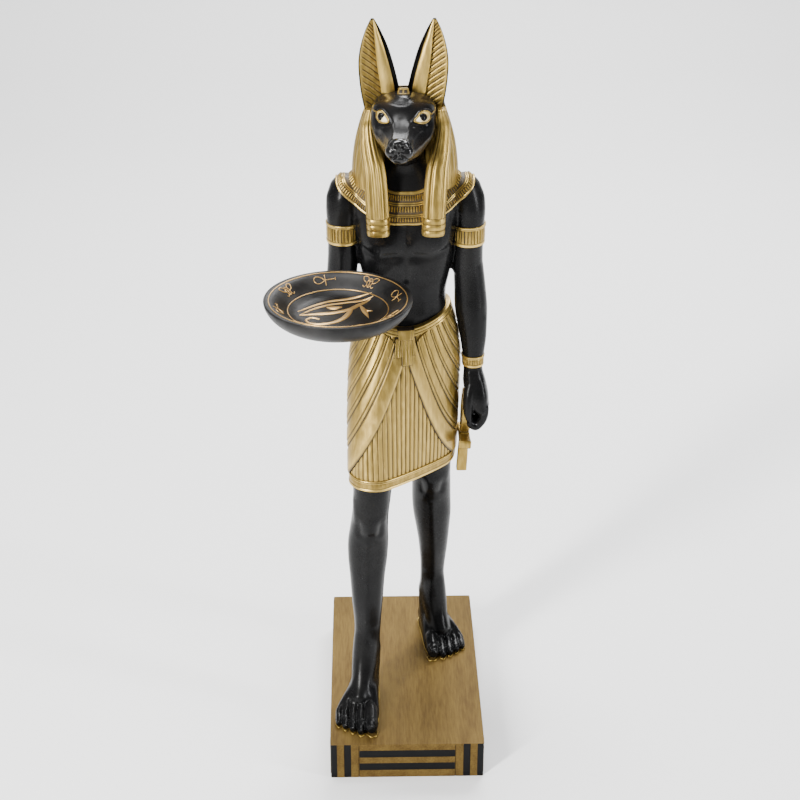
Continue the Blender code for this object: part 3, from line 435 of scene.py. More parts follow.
def modelled(form: Form, strokes: Iterable[Stroke]) -> Form:
    """Raises and sinks the surface along the strokes, all from the same outward directions."""
    away = form.normals()
    lift = np.zeros(len(form.points))
    for stroke in strokes:
        near = distance_from(form.points, stroke.path) / stroke.reach
        lift += stroke.height * np.exp(-(near**stroke.edge))
    form.points = form.points + away * lift[:, None]
    return form


def outward(thing: bpy.types.Object) -> None:
    """Turns an object's faces outwards."""
    bm = bmesh.new()
    bm.from_mesh(thing.data)
    bmesh.ops.recalc_face_normals(bm, faces=bm.faces)
    bm.to_mesh(thing.data)
    bm.free()


class Ground:
    """A skin that other pieces are laid on by shooting rays at it."""

    def __init__(self, *forms: Form) -> None:
        """Builds the search tree from one or more forms."""
        points, faces, first = [], [], 0
        for form in forms:
            points += form.points.tolist()
            faces += [tuple(i + first for i in face) for face in form.faces]
            first += len(form.points)
        self.tree = BVHTree.FromPolygons(points, faces)

    def hit(self, start: Sequence[float], way: Sequence[float], reach: float) -> np.ndarray | None:
        """The first place that a ray meets, or None."""
        found = self.tree.ray_cast(Vector(start), Vector(way).normalized(), reach)[0]
        return None if found is None else np.array(found)

    def nearest(self, point: Sequence[float], lift: float = 0.0) -> np.ndarray:
        """The nearest place on the skin, lifted off it along its own direction."""
        place, away, _, _ = self.tree.find_nearest(Vector([float(v) for v in point]))
        return np.array(place) + lift * np.array(away)


# Paint.


class Shade:
    """A shader socket that can be used in sums and products."""

    def __init__(self, graph: "PaintGraph", socket: bpy.types.NodeSocket) -> None:
        """Keeps the socket with the graph that it belongs to."""
        self.graph = graph
        self.socket = socket

    def _with(self, kind: str, first: Any, second: Any) -> "Shade":
        """Adds a Math node for one operation."""
        return self.graph.math(kind, first, second)

    def __add__(self, other: Any) -> "Shade":
        """Sum."""
        return self._with("ADD", self, other)

    def __radd__(self, other: Any) -> "Shade":
        """Sum with a number first."""
        return self._with("ADD", other, self)

    def __sub__(self, other: Any) -> "Shade":
        """Difference."""
        return self._with("SUBTRACT", self, other)

    def __rsub__(self, other: Any) -> "Shade":
        """Difference from a number."""
        return self._with("SUBTRACT", other, self)

    def __mul__(self, other: Any) -> "Shade":
        """Product."""
        return self._with("MULTIPLY", self, other)

    def __rmul__(self, other: Any) -> "Shade":
        """Product with a number first."""
        return self._with("MULTIPLY", other, self)

    def __pow__(self, other: Any) -> "Shade":
        """Power."""
        return self._with("POWER", self, other)

    def clamped(self) -> "Shade":
        """The value kept between 0 and 1."""
        return Shade(self.graph, self.graph.node("ShaderNodeClamp", {}, {"Value": self}).outputs[0])


class PaintGraph:
    """Builds one material's nodes."""

    def __init__(self, name: str) -> None:
        """Starts an empty material with a Principled shader."""
        self.material = bpy.data.materials.new(name)
        self.material.use_nodes = True
        self.tree = self.material.node_tree
        self.tree.nodes.clear()
        self.shader = self.node("ShaderNodeBsdfPrincipled", {}, {})
        self.node("ShaderNodeOutputMaterial", {}, {"Surface": self.shader.outputs[0]})

    def node(self, kind: str, settings: dict[str, Any], values: dict[Any, Any]) -> bpy.types.Node:
        """Adds a node.

        Args:
            kind: The node's type.
            settings: Its own settings, set first.
            values: Values or links of its inputs, by name or number.

        Returns:
            The new node.
        """
        made = self.tree.nodes.new(kind)
        for key, value in settings.items():
            setattr(made, key, value)
        for key, value in values.items():
            self.feed(made.inputs[key], value)
        return made

    def feed(self, socket: bpy.types.NodeSocket, value: Any) -> None:
        """Links a socket or sets its own value."""
        if isinstance(value, Shade):
            self.tree.links.new(value.socket, socket)
        elif isinstance(value, bpy.types.NodeSocket):
            self.tree.links.new(value, socket)
        else:
            socket.default_value = value

    def math(self, kind: str, first: Any, second: Any) -> Shade:
        """One Math node."""
        made = self.node("ShaderNodeMath", {"operation": kind}, {0: first, 1: second})
        return Shade(self, made.outputs[0])

    def mark(self, name: str) -> Shade:
        """A value stored at the mesh's points."""
        made = self.node("ShaderNodeAttribute", {"attribute_name": name}, {})
        return Shade(self, made.outputs["Fac"])

    def noise(self, scale: float, detail: float = 3.0, stretch: Sequence[float] = (1, 1, 1)) -> Shade:
        """Soft noise on Object coordinates, in cycles per metre."""
        place = self.node("ShaderNodeTexCoord", {}, {}).outputs["Object"]
        spread = self.node("ShaderNodeMapping", {}, {"Vector": place, "Scale": stretch}).outputs[0]
        made = self.node("ShaderNodeTexNoise", {}, {"Vector": spread, "Scale": scale, "Detail": detail})
        return Shade(self, made.outputs["Fac"])

    def blend(self, first: Any, second: Any, share: Any) -> Shade:
        """A colour between two others."""
        made = self.node("ShaderNodeMix", {"data_type": "RGBA"}, {"Factor": share})
        self.feed(made.inputs[6], first)
        self.feed(made.inputs[7], second)
        return Shade(self, made.outputs[2])

    def steps(self, value: Any, low: float, high: float) -> Shade:
        """A value spread from low and high to 0 and 1, kept between them."""
        made = self.node(
            "ShaderNodeMapRange", {"clamp": True}, {"Value": value, "From Min": low, "From Max": high}
        )
        return Shade(self, made.outputs[0])

    def bump(self, height: Any, strength: float, distance: float) -> None:
        """Feeds the shader's normal from a height."""
        made = self.node("ShaderNodeBump", {}, {"Height": height, "Strength": strength, "Distance": distance})
        self.feed(self.shader.inputs["Normal"], made.outputs[0])

    def surface(self, **values: Any) -> bpy.types.Material:
        """Sets the shader's inputs, their names written with underscores, and returns the material."""
        for key, value in values.items():
            self.feed(self.shader.inputs[key.replace("_", " ").title().replace("Ior", "IOR")], value)
        return self.material


Colour = tuple[float, float, float, float]


@dataclass(frozen=True)
class BlackPaint:
    """Black resin paint, satin or glossy, with a brown wash where the mesh is marked."""

    name: str
    colour: Colour = (0.0032, 0.0032, 0.0034, 1.0)
    worn: Colour = (0.0085, 0.0082, 0.008, 1.0)
    wash: Colour = (0.06, 0.034, 0.012, 1.0)
    roughness: float = 0.27
    specular: float = 0.12
    grain: float = 0.05

    def material(self) -> bpy.types.Material:
        """Builds the paint."""
        g = PaintGraph(self.name)
        cloud, fine = g.noise(22.0, 4.0), g.noise(900.0, 2.0)
        base = g.blend(self.colour, self.worn, g.steps(cloud, 0.42, 0.72) * 0.8)
        base = g.blend(base, self.wash, (g.mark("wash") * (0.2 + 0.6 * g.noise(160.0, 4.0))).clamped())
        g.bump(fine + 0.6 * g.noise(260.0, 2.0), self.grain, 0.0004)
        rough = self.roughness + 0.16 * (cloud - 0.5) + 0.1 * (fine - 0.5)
        return g.surface(base_color=base, roughness=rough, specular_ior_level=self.specular)


@dataclass(frozen=True)
class GoldPaint:
    """Antique gold: metallic paint with a painted highlight on high ground, and a brown wash in the grooves
    that some pieces also use as painted shade.
    """

    name: str
    colour: Colour = (0.235, 0.154, 0.031, 1.0)
    bright: Colour = (0.84, 0.59, 0.175, 1.0)
    wash: Colour = (0.012, 0.0065, 0.0025, 1.0)
    metallic: float = 0.86
    roughness: float = 0.33
    streak: tuple[float, float, float] = (1.0, 1.0, 0.25)
    grain: float = 0.12

    def material(self) -> bpy.types.Material:
        """Builds the paint."""
        g = PaintGraph(self.name)
        cloud, fine = g.noise(30.0, 4.0, self.streak), g.noise(1500.0, 3.0, self.streak)
        worn = g.steps(g.noise(210.0, 5.0, self.streak) + 0.35 * (cloud - 0.5), 0.45, 0.75)
        groove = g.mark("groove")
        # The brown wash in the grooves; at some marked places, beside the ear's flap, round the kilt's flaps
        # and on the ankh's neck, it is painted shade.
        wash_and_painted_shade = (groove * (1.0 + 0.5 * (fine - 0.5)) + 0.08 * g.steps(cloud, 0.55, 0.8)).clamped()
        # Painted highlight: the bright colour is mixed in where the mesh is marked as high ground, on top of
        # random lighter wear.
        base = g.blend(self.colour, self.bright, (0.28 * worn + 0.5 * g.mark("crest") + 0.06).clamped())
        base = g.blend(base, self.wash, wash_and_painted_shade)
        g.bump(fine + 0.7 * g.noise(420.0, 3.0, self.streak), self.grain, 0.0003)
        return g.surface(
            base_color=base,
            metallic=(self.metallic * (1 - 0.8 * wash_and_painted_shade)).clamped(),
            roughness=(self.roughness + 0.14 * (cloud - 0.5) + 0.12 * worn + 0.2 * wash_and_painted_shade).clamped(),
        )


@dataclass(frozen=True)
class PlinthPaint:
    """Brushed brown gold with black bars where the mesh is marked."""

    name: str
    colour: Colour = (0.070, 0.040, 0.0095, 1.0)
    light: Colour = (0.140, 0.090, 0.024, 1.0)
    bar: Colour = (0.0035, 0.0035, 0.0037, 1.0)
    wash: Colour = (0.012, 0.0065, 0.0025, 1.0)

    def material(self) -> bpy.types.Material:
        """Builds the paint."""
        g = PaintGraph(self.name)
        long_streaks = g.noise(60.0, 5.0, (1.0, 0.12, 1.0))
        short_streaks = g.noise(420.0, 4.0, (1.0, 0.1, 1.0))
        speckle = g.noise(1300.0, 2.0)
        tone = (0.55 * long_streaks + 0.45 * short_streaks + 0.2 * (speckle - 0.5)).clamped()
        bar = g.steps(g.mark("bar"), 0.35, 0.65)
        base = g.blend(self.colour, self.light, g.steps(tone, 0.36, 0.66))
        base = g.blend(base, self.wash, (g.mark("groove") * 0.85).clamped())
        base = g.blend(base, self.bar, bar)
        g.bump(short_streaks + 0.5 * speckle, 0.16, 0.0005)
        return g.surface(
            base_color=base,
            metallic=(0.35 * (1 - bar)).clamped(),
            roughness=(0.58 + 0.2 * (tone - 0.5) - 0.1 * bar).clamped(),
            specular_ior_level=0.1,
        )


@dataclass(frozen=True)
class EyePaint:
    """The cream of the eye, gold towards its upper lid."""

    name: str
    cream: Colour = (0.80, 0.72, 0.50, 1.0)
    gold: Colour = (0.44, 0.31, 0.085, 1.0)

    def material(self) -> bpy.types.Material:
        """Builds the paint."""
        g = PaintGraph(self.name)
        base = g.blend(self.cream, self.gold, (g.mark("wash") + 0.2 * (g.noise(700.0) - 0.5)).clamped())
        g.bump(g.noise(800.0), 0.05, 0.0002)
        return g.surface(base_color=base, roughness=0.3 + 0.1 * g.noise(500.0))


# The workshop.


@dataclass
class Workshop:
    """Turns forms into finished objects that ride with the statue."""

    paints: dict[Paint, bpy.types.Material] = field(default_factory=dict)

    def mix_paints(self) -> None:
        """Builds every finish once."""
        finishes = {
            Paint.SKIN: BlackPaint("satin_black"),
            Paint.NOSE: BlackPaint("gloss_black", roughness=0.15, specular=0.32, grain=0.02),
            Paint.GOLD: GoldPaint("antique_gold"),
            Paint.CLOTH: GoldPaint("kilt_gold", roughness=0.36, metallic=0.72, grain=0.16),
            Paint.PLINTH: PlinthPaint("brushed_gold"),
            Paint.DISH: BlackPaint("dish_black", roughness=0.42, worn=(0.03, 0.029, 0.028, 1.0)),
            Paint.DISH_GOLD: GoldPaint(
                "symbol_gold", colour=(0.42, 0.25, 0.08, 1.0), bright=(0.62, 0.42, 0.17, 1.0)
            ),
            Paint.EYE: EyePaint("eye_cream"),
            Paint.PUPIL: BlackPaint("pupil_black", roughness=0.12),
        }
        for paint, finish in finishes.items():
            self.paints[paint] = finish.material()

    def publish(self, form: Form, paint: Paint, node: Node, sharp: float = 40.0) -> bpy.types.Object:
        """Makes the finished object of a form.

        Args:
            form: The mesh in the figure's units, with its marks.
            paint: Its finish.
            node: The cast piece that it stands for.
            sharp: The angle in degrees above which an edge stays crisp.

        Returns:
            The object, in metres.
        """
        placed = Form(form.name, (form.points + (0, 0, SOLE_LEVEL)) * MM, form.faces, form.marks)
        made = placed.raw_object()
        outward(made)
        for name in ("groove", "wash", "bar", "crest"):
            if name in form.marks:
                mark = made.data.attributes.new(name, "FLOAT", "POINT")
                mark.data.foreach_set("value", np.asarray(form.marks[name], np.float32))
        made.data.shade_smooth()
        made.data.set_sharp_from_angle(angle=math.radians(sharp))
        return self.finish(made, paint, node)

    def finish(self, made: bpy.types.Object, paint: Paint, node: Node) -> bpy.types.Object:
        """Paints an object and lets it ride with the statue in place of its node."""
        made.data.materials.clear()
        made.data.materials.append(self.paints[paint])
        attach(made, "root")
        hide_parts(node.value[0])
        log.info("%s: %d faces", made.name, len(made.data.polygons))
        return made


# Geometry nodes for what repeats or follows a path.


class GeometryGraph:
    """Builds one Geometry Nodes tree with named inputs."""

    def __init__(self, name: str, inputs: dict[str, tuple[str, Any]]) -> None:
        """Starts a tree with a Geometry input and output and more inputs by name, type and value."""
        self.tree = bpy.data.node_groups.new(name, "GeometryNodeTree")
        face = self.tree.interface
        face.new_socket("Geometry", in_out="INPUT", socket_type="NodeSocketGeometry")
        for label, (kind, value) in inputs.items():
            socket = face.new_socket(label, in_out="INPUT", socket_type=kind)
            if value is not None:
                socket.default_value = value
        face.new_socket("Geometry", in_out="OUTPUT", socket_type="NodeSocketGeometry")
        self.start = self.tree.nodes.new("NodeGroupInput")
        self.end = self.tree.nodes.new("NodeGroupOutput")

    def node(self, kind: str, settings: dict[str, Any], links: dict[Any, Any]) -> bpy.types.Node:
        """Adds a node, its settings first and then its values or links."""
        made = self.tree.nodes.new(kind)
        for key, value in settings.items():
            setattr(made, key, value)
        for key, value in links.items():
            if isinstance(value, bpy.types.NodeSocket):
                self.tree.links.new(value, made.inputs[key])
            else:
                made.inputs[key].default_value = value
        return made

    def close(self, geometry: bpy.types.NodeSocket) -> bpy.types.NodeTree:
        """Ends the tree in Realize Instances and Set Material."""
        real = self.node("GeometryNodeRealizeInstances", {}, {"Geometry": geometry})
        smooth = self.node("GeometryNodeSetShadeSmooth", {}, {"Geometry": real.outputs[0]})
        painted = self.node(
            "GeometryNodeSetMaterial",
            {},
            {"Geometry": smooth.outputs[0], "Material": self.start.outputs["Material"]},
        )
        self.tree.links.new(painted.outputs[0], self.end.inputs[0])
        return self.tree


def grown(
    name: str, seed: bpy.types.Mesh, tree: bpy.types.NodeTree, values: dict[str, Any]
) -> bpy.types.Object:
    """Runs a tree on a seed mesh and keeps the result as a plain mesh.

    Args:
        name: The name of the finished object.
        seed: The points or edges that the tree starts from.
        tree: The tree.
        values: Its inputs by name.

    Returns:
        A plain object without modifiers.
    """
    holder = bpy.data.objects.new(name + "_seed", seed)
    bpy.context.scene.collection.objects.link(holder)
    nodes = holder.modifiers.new("grow", "NODES")
    nodes.node_group = tree
    for item in tree.interface.items_tree:
        if item.item_type == "SOCKET" and item.in_out == "INPUT" and item.name in values:
            nodes[item.identifier] = values[item.name]
    graph = bpy.context.evaluated_depsgraph_get()
    mesh = bpy.data.meshes.new_from_object(holder.evaluated_get(graph))
    holder.modifiers.clear()
    bpy.data.objects.remove(holder)
    made = bpy.data.objects.new(name, mesh)
    bpy.context.scene.collection.objects.link(made)
    return made


@dataclass
class LineMaker:
    """Raised lines of paint or metal that follow paths."""

    shop: Workshop
    tree: bpy.types.NodeTree | None = None

    def build_tree(self) -> bpy.types.NodeTree:
        """Paths to curves, swept with a round section whose radius is stored at the points."""
        g = GeometryGraph(
            "raised_line",
            {
                "Radius": ("NodeSocketFloat", 0.001),
                "Sides": ("NodeSocketInt", 8),
                "Material": ("NodeSocketMaterial", None),
            },
        )
        curve = g.node("GeometryNodeMeshToCurve", {}, {"Mesh": g.start.outputs["Geometry"]})
        share = g.node("GeometryNodeInputNamedAttribute", {"data_type": "FLOAT"}, {"Name": "share"})
        thick = g.node(
            "GeometryNodeSetCurveRadius", {}, {"Curve": curve.outputs[0], "Radius": share.outputs[0]}
        )
        section = g.node(
            "GeometryNodeCurvePrimitiveCircle",
            {},
            {"Resolution": g.start.outputs["Sides"], "Radius": g.start.outputs["Radius"]},
        )
        swept = g.node(
            "GeometryNodeCurveToMesh",
            {},
            {"Curve": thick.outputs[0], "Profile Curve": section.outputs[0], "Fill Caps": True},
        )
        scale = swept.inputs.get("Scale")
        if scale is not None:
            g.tree.links.new(share.outputs[0], scale)
        return g.close(swept.outputs[0])

    def lines(
        self,
        name: str,
        paths: Sequence[tuple[np.ndarray, bool]],
        radius: float,
        paint: Paint,
        node: Node,
        shares: Sequence[np.ndarray] | None = None,
    ) -> bpy.types.Object:
        """Sweeps raised lines.

        Args:
            name: The object's name.
            paths: Points of each line in the figure's units, and whether it closes.
            radius: The lines' radius in the figure's units.
            paint: Their finish.
            node: The cast piece that they belong to.
            shares: The share of the radius at each point of each line.

        Returns:
            The finished object.
        """
        self.tree = self.tree or self.build_tree()
        points, edges, thick = [], [], []
        for k, (path, closed) in enumerate(paths):
            first = len(points)
            points += ((np.asarray(path) + (0, 0, SOLE_LEVEL)) * MM).tolist()
            count = len(path)
            edges += [(first + i, first + i + 1) for i in range(count - 1)]
            if closed:
                edges.append((first + count - 1, first))
            thick.append(np.ones(count) if shares is None else np.asarray(shares[k], float))
        seed = bpy.data.meshes.new(name + "_path")
        seed.from_pydata(points, edges, [])
        share = seed.attributes.new("share", "FLOAT", "POINT")
        share.data.foreach_set("value", np.concatenate(thick).astype(np.float32))
        values = {"Radius": radius * MM, "Sides": 8, "Material": self.shop.paints[paint]}
        made = grown(name, seed, self.tree, values)
        outward(made)
        return self.shop.finish(made, paint, node)


@dataclass
class BarMaker:
    """Rows of small raised bars, each standing on the surface with its own direction."""

    shop: Workshop
    tree: bpy.types.NodeTree | None = None

    def build_tree(self) -> bpy.types.NodeTree:
        """A chamfered bar instanced on points, turned by their stored directions."""
        g = GeometryGraph("bar_row", {"Material": ("NodeSocketMaterial", None)})
        points = g.node("GeometryNodeMeshToPoints", {}, {"Mesh": g.start.outputs["Geometry"]})
        vector = {"data_type": "FLOAT_VECTOR"}
        away = g.node("GeometryNodeInputNamedAttribute", vector, {"Name": "away"})
        along = g.node("GeometryNodeInputNamedAttribute", vector, {"Name": "along"})
        size = g.node("GeometryNodeInputNamedAttribute", vector, {"Name": "size"})
        turn = g.node(
            "FunctionNodeAxesToRotation",
            {"primary_axis": "Z", "secondary_axis": "Y"},
            {0: away.outputs[0], 1: along.outputs[0]},
        )
        block = g.node("GeometryNodeMeshCube", {}, {"Size": (1.0, 1.0, 1.0)})
        top = g.node("GeometryNodeInputNormal", {}, {})
        part = g.node("ShaderNodeSeparateXYZ", {}, {0: top.outputs[0]})
        up = g.node(
            "FunctionNodeCompare",
            {"data_type": "FLOAT", "operation": "GREATER_THAN"},
            {0: part.outputs[2], 1: 0.5},
        )
        raised = g.node(
            "GeometryNodeExtrudeMesh",
            {"mode": "FACES"},
            {"Mesh": block.outputs[0], "Selection": up.outputs[0], "Offset Scale": 0.35},
        )
        tapered = g.node(
            "GeometryNodeScaleElements",
            {"domain": "FACE"},
            {"Geometry": raised.outputs[0], "Selection": raised.outputs["Top"], "Scale": 0.62},
        )
        placed = g.node(
            "GeometryNodeInstanceOnPoints",
            {},
            {
                "Points": points.outputs[0],
                "Instance": tapered.outputs[0],
                "Rotation": turn.outputs[0],
                "Scale": size.outputs[0],
            },
        )
        return g.close(placed.outputs[0])

    def bars(
        self,
        name: str,
        places: np.ndarray,
        away: np.ndarray,
        along: np.ndarray,
        size: np.ndarray,
        paint: Paint,
        node: Node,
    ) -> bpy.types.Object:
        """Sets the bars.

        Args:
            name: The object's name.
            places: Where each bar stands, in the figure's units.
            away: Its upward direction.
            along: The direction of its length.
            size: Width, length and height of each bar in the figure's units.
            paint: Its finish.
            node: The cast piece that it belongs to.

        Returns:
            The finished object.
        """
        self.tree = self.tree or self.build_tree()
        seed = bpy.data.meshes.new(name + "_places")
        seed.from_pydata(((places + (0, 0, SOLE_LEVEL)) * MM).tolist(), [], [])
        for label, value in (("away", away), ("along", along), ("size", size * MM)):
            mark = seed.attributes.new(label, "FLOAT_VECTOR", "POINT")
            mark.data.foreach_set("vector", np.asarray(value, np.float32).reshape(-1))
        made = grown(name, seed, self.tree, {"Material": self.shop.paints[paint]})
        outward(made)
        made.data.set_sharp_from_angle(angle=math.radians(30))
        return self.shop.finish(made, paint, node)


# The skin.


@dataclass
class Trunk:
    """Torso, neck, arms and hands, fused into one skin."""

    torso: Table = (
        (380, 0, -6, 40, 30, 34, 2.2), (440, 0, 0, 55, 38, 42, 2.3), (485, 0, 1, 55, 37, 40, 2.3),
        (512, 0, 1, 51.5, 34.5, 35, 2.3), (540, 0.8, 0, 47.5, 32, 31, 2.3),
        (565, 0.8, 0, 52, 34.5, 33, 2.3), (590, 0.5, 0, 56.8, 37.5, 36, 2.4),
        (615, 0.5, 0, 59.3, 40, 39, 2.5), (640, 0.5, 0, 63, 38.5, 40, 2.5), (662, 0.5, 1, 68, 32, 36, 2.3),
        (677, 0.5, 2, 66, 25.5, 30, 2.1), (688.5, 0.5, 3, 48, 22, 27, 2.0), (698, 0.5, 2, 30, 21, 24, 2.0),
        (712, 0.4, 0, 23.5, 21, 22, 2.0), (750, 0, -4, 22.5, 20, 22, 2.0),
    )
    left_upper_arm: Table = (
        (682, 68, 2, 6, 9, 9, 2), (678, 68.5, 2, 13, 16, 16, 2), (666, 70, 1, 19, 21, 21, 2),
        (648, 72, 0, 20.6, 22.5, 22, 2), (622, 74.2, 0, 18.4, 20.5, 20, 2), (592, 73.6, 0, 18, 19.5, 19.5, 2),
        (564, 74.2, 0, 18, 18.5, 18.5, 2),
    )
    right_upper_arm: Table = (
        (682, -67.5, 2, 6, 9, 9, 2), (678, -68, 2, 13, 16, 16, 2), (666, -69.2, 1, 19, 21, 21, 2),
        (648, -70.4, 0, 20.4, 22.5, 22, 2), (622, -72, 0, 18.4, 20.5, 20, 2),
        (592, -72.2, 0, 18, 19.5, 19.5, 2), (564, -74, 0, 18, 18.5, 18.5, 2),
    )
    left_forearm: Table = (
        (575, 74.6, 0, 17.6, 18.5, 18.5, 2), (539, 77.5, -1, 19, 19, 19, 2),
        (520, 78.7, -2, 19.6, 19.5, 18, 2), (500, 80.2, -3, 18, 18.5, 17, 2),
        (480, 81.6, -4, 15.6, 16, 15, 2), (457, 82, -5, 12.6, 13.5, 13, 2),
        (440, 82.4, -6, 11.4, 13, 13, 2.2), (422, 84.5, -6, 14, 18, 18, 2.4),
        (404, 88, -6, 14, 22, 21, 2.6), (394, 90, -6, 12, 22.5, 21, 2.6), (386, 93, -6, 8, 22, 20, 2.6),
        (381, 94, -6, 5, 18, 17, 2.4),
    )
    right_forearm: Table = (
        (17, -74.5, 540, 9, 9, 9, 2), (12, -74.5, 539, 15, 15, 15, 2), (0, -75, 539, 18.6, 18.5, 19, 2),
        (-22, -76, 540, 19.5, 17.5, 18.5, 2), (-48, -76.5, 542, 16.5, 14.5, 15, 2),
        (-74, -77, 544, 12.8, 10.5, 11, 2), (-88, -77, 545, 13.2, 9.5, 9.5, 2.2),
        (-104, -77, 546, 19.5, 9, 9, 2.6), (-122, -77, 547, 22, 8.5, 8.5, 2.8),
        (-138, -77, 547, 21.5, 8, 7.5, 2.8), (-146, -77, 547, 19, 6, 6, 2.4),
    )
    finger_radii: tuple[float, ...] = (5.4, 5.6, 5.3, 5.0, 5.1, 5.2, 3.4)
    voxel: float = 1.35
    triangles: int = 120_000

    @staticmethod
    def upright(name: str, rows: Table, count: int, sides: int = 40) -> Form:
        """A limb whose ovals lie flat, one above the other."""
        rings = []
        for z, cx, cy, width, ahead, behind, square in evenly(rows, count):
            ring = oval(width, ahead, behind, square, sides) + (cx, cy)
            rings.append(at_height(ring, z))
        return loft(name, rings)

    @staticmethod
    def level(name: str, rows: Table, count: int, sides: int = 40) -> Form:
        """A limb whose ovals stand upright, one in front of the other."""
        rings = []
        for y, cx, cz, width, up, down, square in evenly(rows, count):
            ring = oval(width, down, up, square, sides) + (cx, cz)
            rings.append(np.column_stack([ring[:, 0], np.full(sides, y), ring[:, 1]]))
        return loft(name, rings)

    def fist(self) -> list[Form]:
        """Four fingers curled round the ankh's loop, and the thumb laid over them."""
        made = []
        for i in range(4):
            y, droop = -21.0 + 9.8 * i, 0.03 * abs(i - 1)
            path = [
                (95, y, 394), (96, y, 383), (91.8, y, 372), (86, y, 364.5 + 2 * abs(i - 1)),
                (80.5, y, 370), (78, y, 380), (79, y, 391 - 3 * droop),
            ]
            full = (1.0, 1.05, 1.01, 0.94)[i]
            made.append(tube(f"finger_{i}", path, [full * r for r in self.finger_radii], 16, 34))
        thumb = [(80, -14, 424), (77.5, -22, 410), (76, -25, 396), (76.5, -26, 384), (78, -26, 377)]
        made.append(tube("thumb", thumb, (7.4, 6.9, 6.3, 5.6, 3.4), 16))
        return made

    def open_hand(self) -> list[Form]:
        """Fingers and thumb of the open hand under the dish."""
        made = []
        for i, (x, tip) in enumerate(((-92.5, -157), (-82.4, -164), (-72.2, -163), (-62.4, -157))):
            far = -77 + (x + 77) * 1.12
            path = [
                (x, -130, 548.5), (x, -140, 549.3), ((x + far) / 2, -148, 550.2),
                (far, tip + 3, 551), (far, tip + 1, 551.4),
            ]
            made.append(tube(f"open_finger_{i}", path, (5.2, 5.2, 5.0, 4.6, 3.0), 16))
        thumb = [(-90, -98, 545), (-99, -112, 547), (-104, -124, 549), (-107, -136, 551), (-108, -140, 552)]
        made.append(tube("open_thumb", thumb, (6.5, 6.4, 6.0, 5.0, 3.0), 16))
        return made

    def strokes(self) -> list[Stroke]:
        """Muscles, bones, knuckles and creases of the trunk and arms."""
        touches = [
            Stroke([(0, -42, 632), (0, -39, 600), (1, -36, 566)], 5.0, -2.3),
            Stroke([(1, -36, 566), (1, -33, 530), (1, -36, 512)], 5.0, -1.3),
            Stroke([(1, -33, 531)], 2.6, -2.4),
            Stroke([(-8, -38, 597), (-30, -38, 594), (-48, -30, 601)], 5.5, -2.2),
            Stroke([(10, -38, 597), (32, -38, 594), (49, -30, 601)], 5.5, -2.2),
            Stroke([(-10, -38, 583), (-26, -34, 566), (-42, -26, 548)], 8.0, 1.8),
            Stroke([(12, -38, 583), (28, -34, 566), (43, -26, 548)], 8.0, 1.8),
            Stroke([(-19, -33, 552), (-17, -33, 520)], 8.5, 1.6),
            Stroke([(21, -33, 552), (19, -33, 520)], 8.5, 1.6),
        ]
        for s in (-1, 1):
            touches += [
                Stroke([(s * 26, -38, 616), (s * 38, -34, 612)], 17.0, 2.7),
                Stroke([(s * 50, -20, 640), (s * 56, -16, 616), (s * 55, -14, 598)], 5.0, -1.4),
                Stroke([(s * 34, -37, 603)], 2.1, 2.4),
                Stroke([(s * 34, -37, 603)], 4.2, -1.2),
                Stroke([(s * 40, 34, 640), (s * 26, 38, 606)], 14.0, 1.6),
                Stroke([(0, 40, 640), (0, 36, 560), (0, 40, 515)], 6.0, -2.0),
                Stroke([(s * 77, -20, 600), (s * 77, -19, 575)], 8.0, 1.0),
                Stroke([(s * 90, -4, 655), (s * 86, -12, 630)], 10.0, 1.0),
            ]
        for i in range(4):
            y = -21.0 + 9.8 * i
            touches.append(Stroke([(101, y, 392)], 4.5, 1.3))
            if i:
                gap = y - 4.9
                touches.append(Stroke([(100, gap, 390), (97, gap, 372), (86, gap, 362)], 1.7, -1.3))
        for x in (-87.4, -77.3, -67.3):
            touches.append(Stroke([(x, -132, 539), (x, -147, 540)], 2.0, -1.2))
        touches += [
            Stroke([(94, -12, 505), (95, -10, 480), (92, -8, 462)], 6.0, 1.0),
            Stroke([(93, -20, 425), (96, -22, 404)], 4.0, 0.8),
            Stroke([(76, -18, 436), (80, -22, 420)], 4.0, 0.9),
            Stroke([(-74.5, 18, 545)], 7.0, 1.6),
            Stroke([(77, 17, 548)], 7.0, 1.6),
        ]
        return touches

    def build(self, shop: Workshop) -> Form:
        """Makes and publishes the skin of the trunk."""
        clay = Clay("trunk_skin", self.voxel)
        clay.forms = [
            self.upright("torso", self.torso, 44, 60),
            self.upright("left_upper_arm", self.left_upper_arm, 22),
            self.upright("left_forearm", self.left_forearm, 36),
            self.upright("right_upper_arm", self.right_upper_arm, 22),
            self.level("right_forearm", self.right_forearm, 30),
            ball("elbow", (-74.5, 2, 548), (17.6, 18, 22)),
            *self.fist(),
            *self.open_hand(),
        ]
        skin = clay.fused()
        z, x, y = skin.points[:, 2], np.abs(skin.points[:, 0]), skin.points[:, 1]
        hands = ((z < 432) & (x > 60)) | ((y < -96) & (z < 570))
        skin.relaxed(16, np.where(hands, 0.12, 1.0))
        modelled(skin, self.strokes())
        skin = skin.relaxed(1).thinned(self.triangles)
        shop.publish(skin, Paint.SKIN, Node.FIGURE, 60)
        return skin


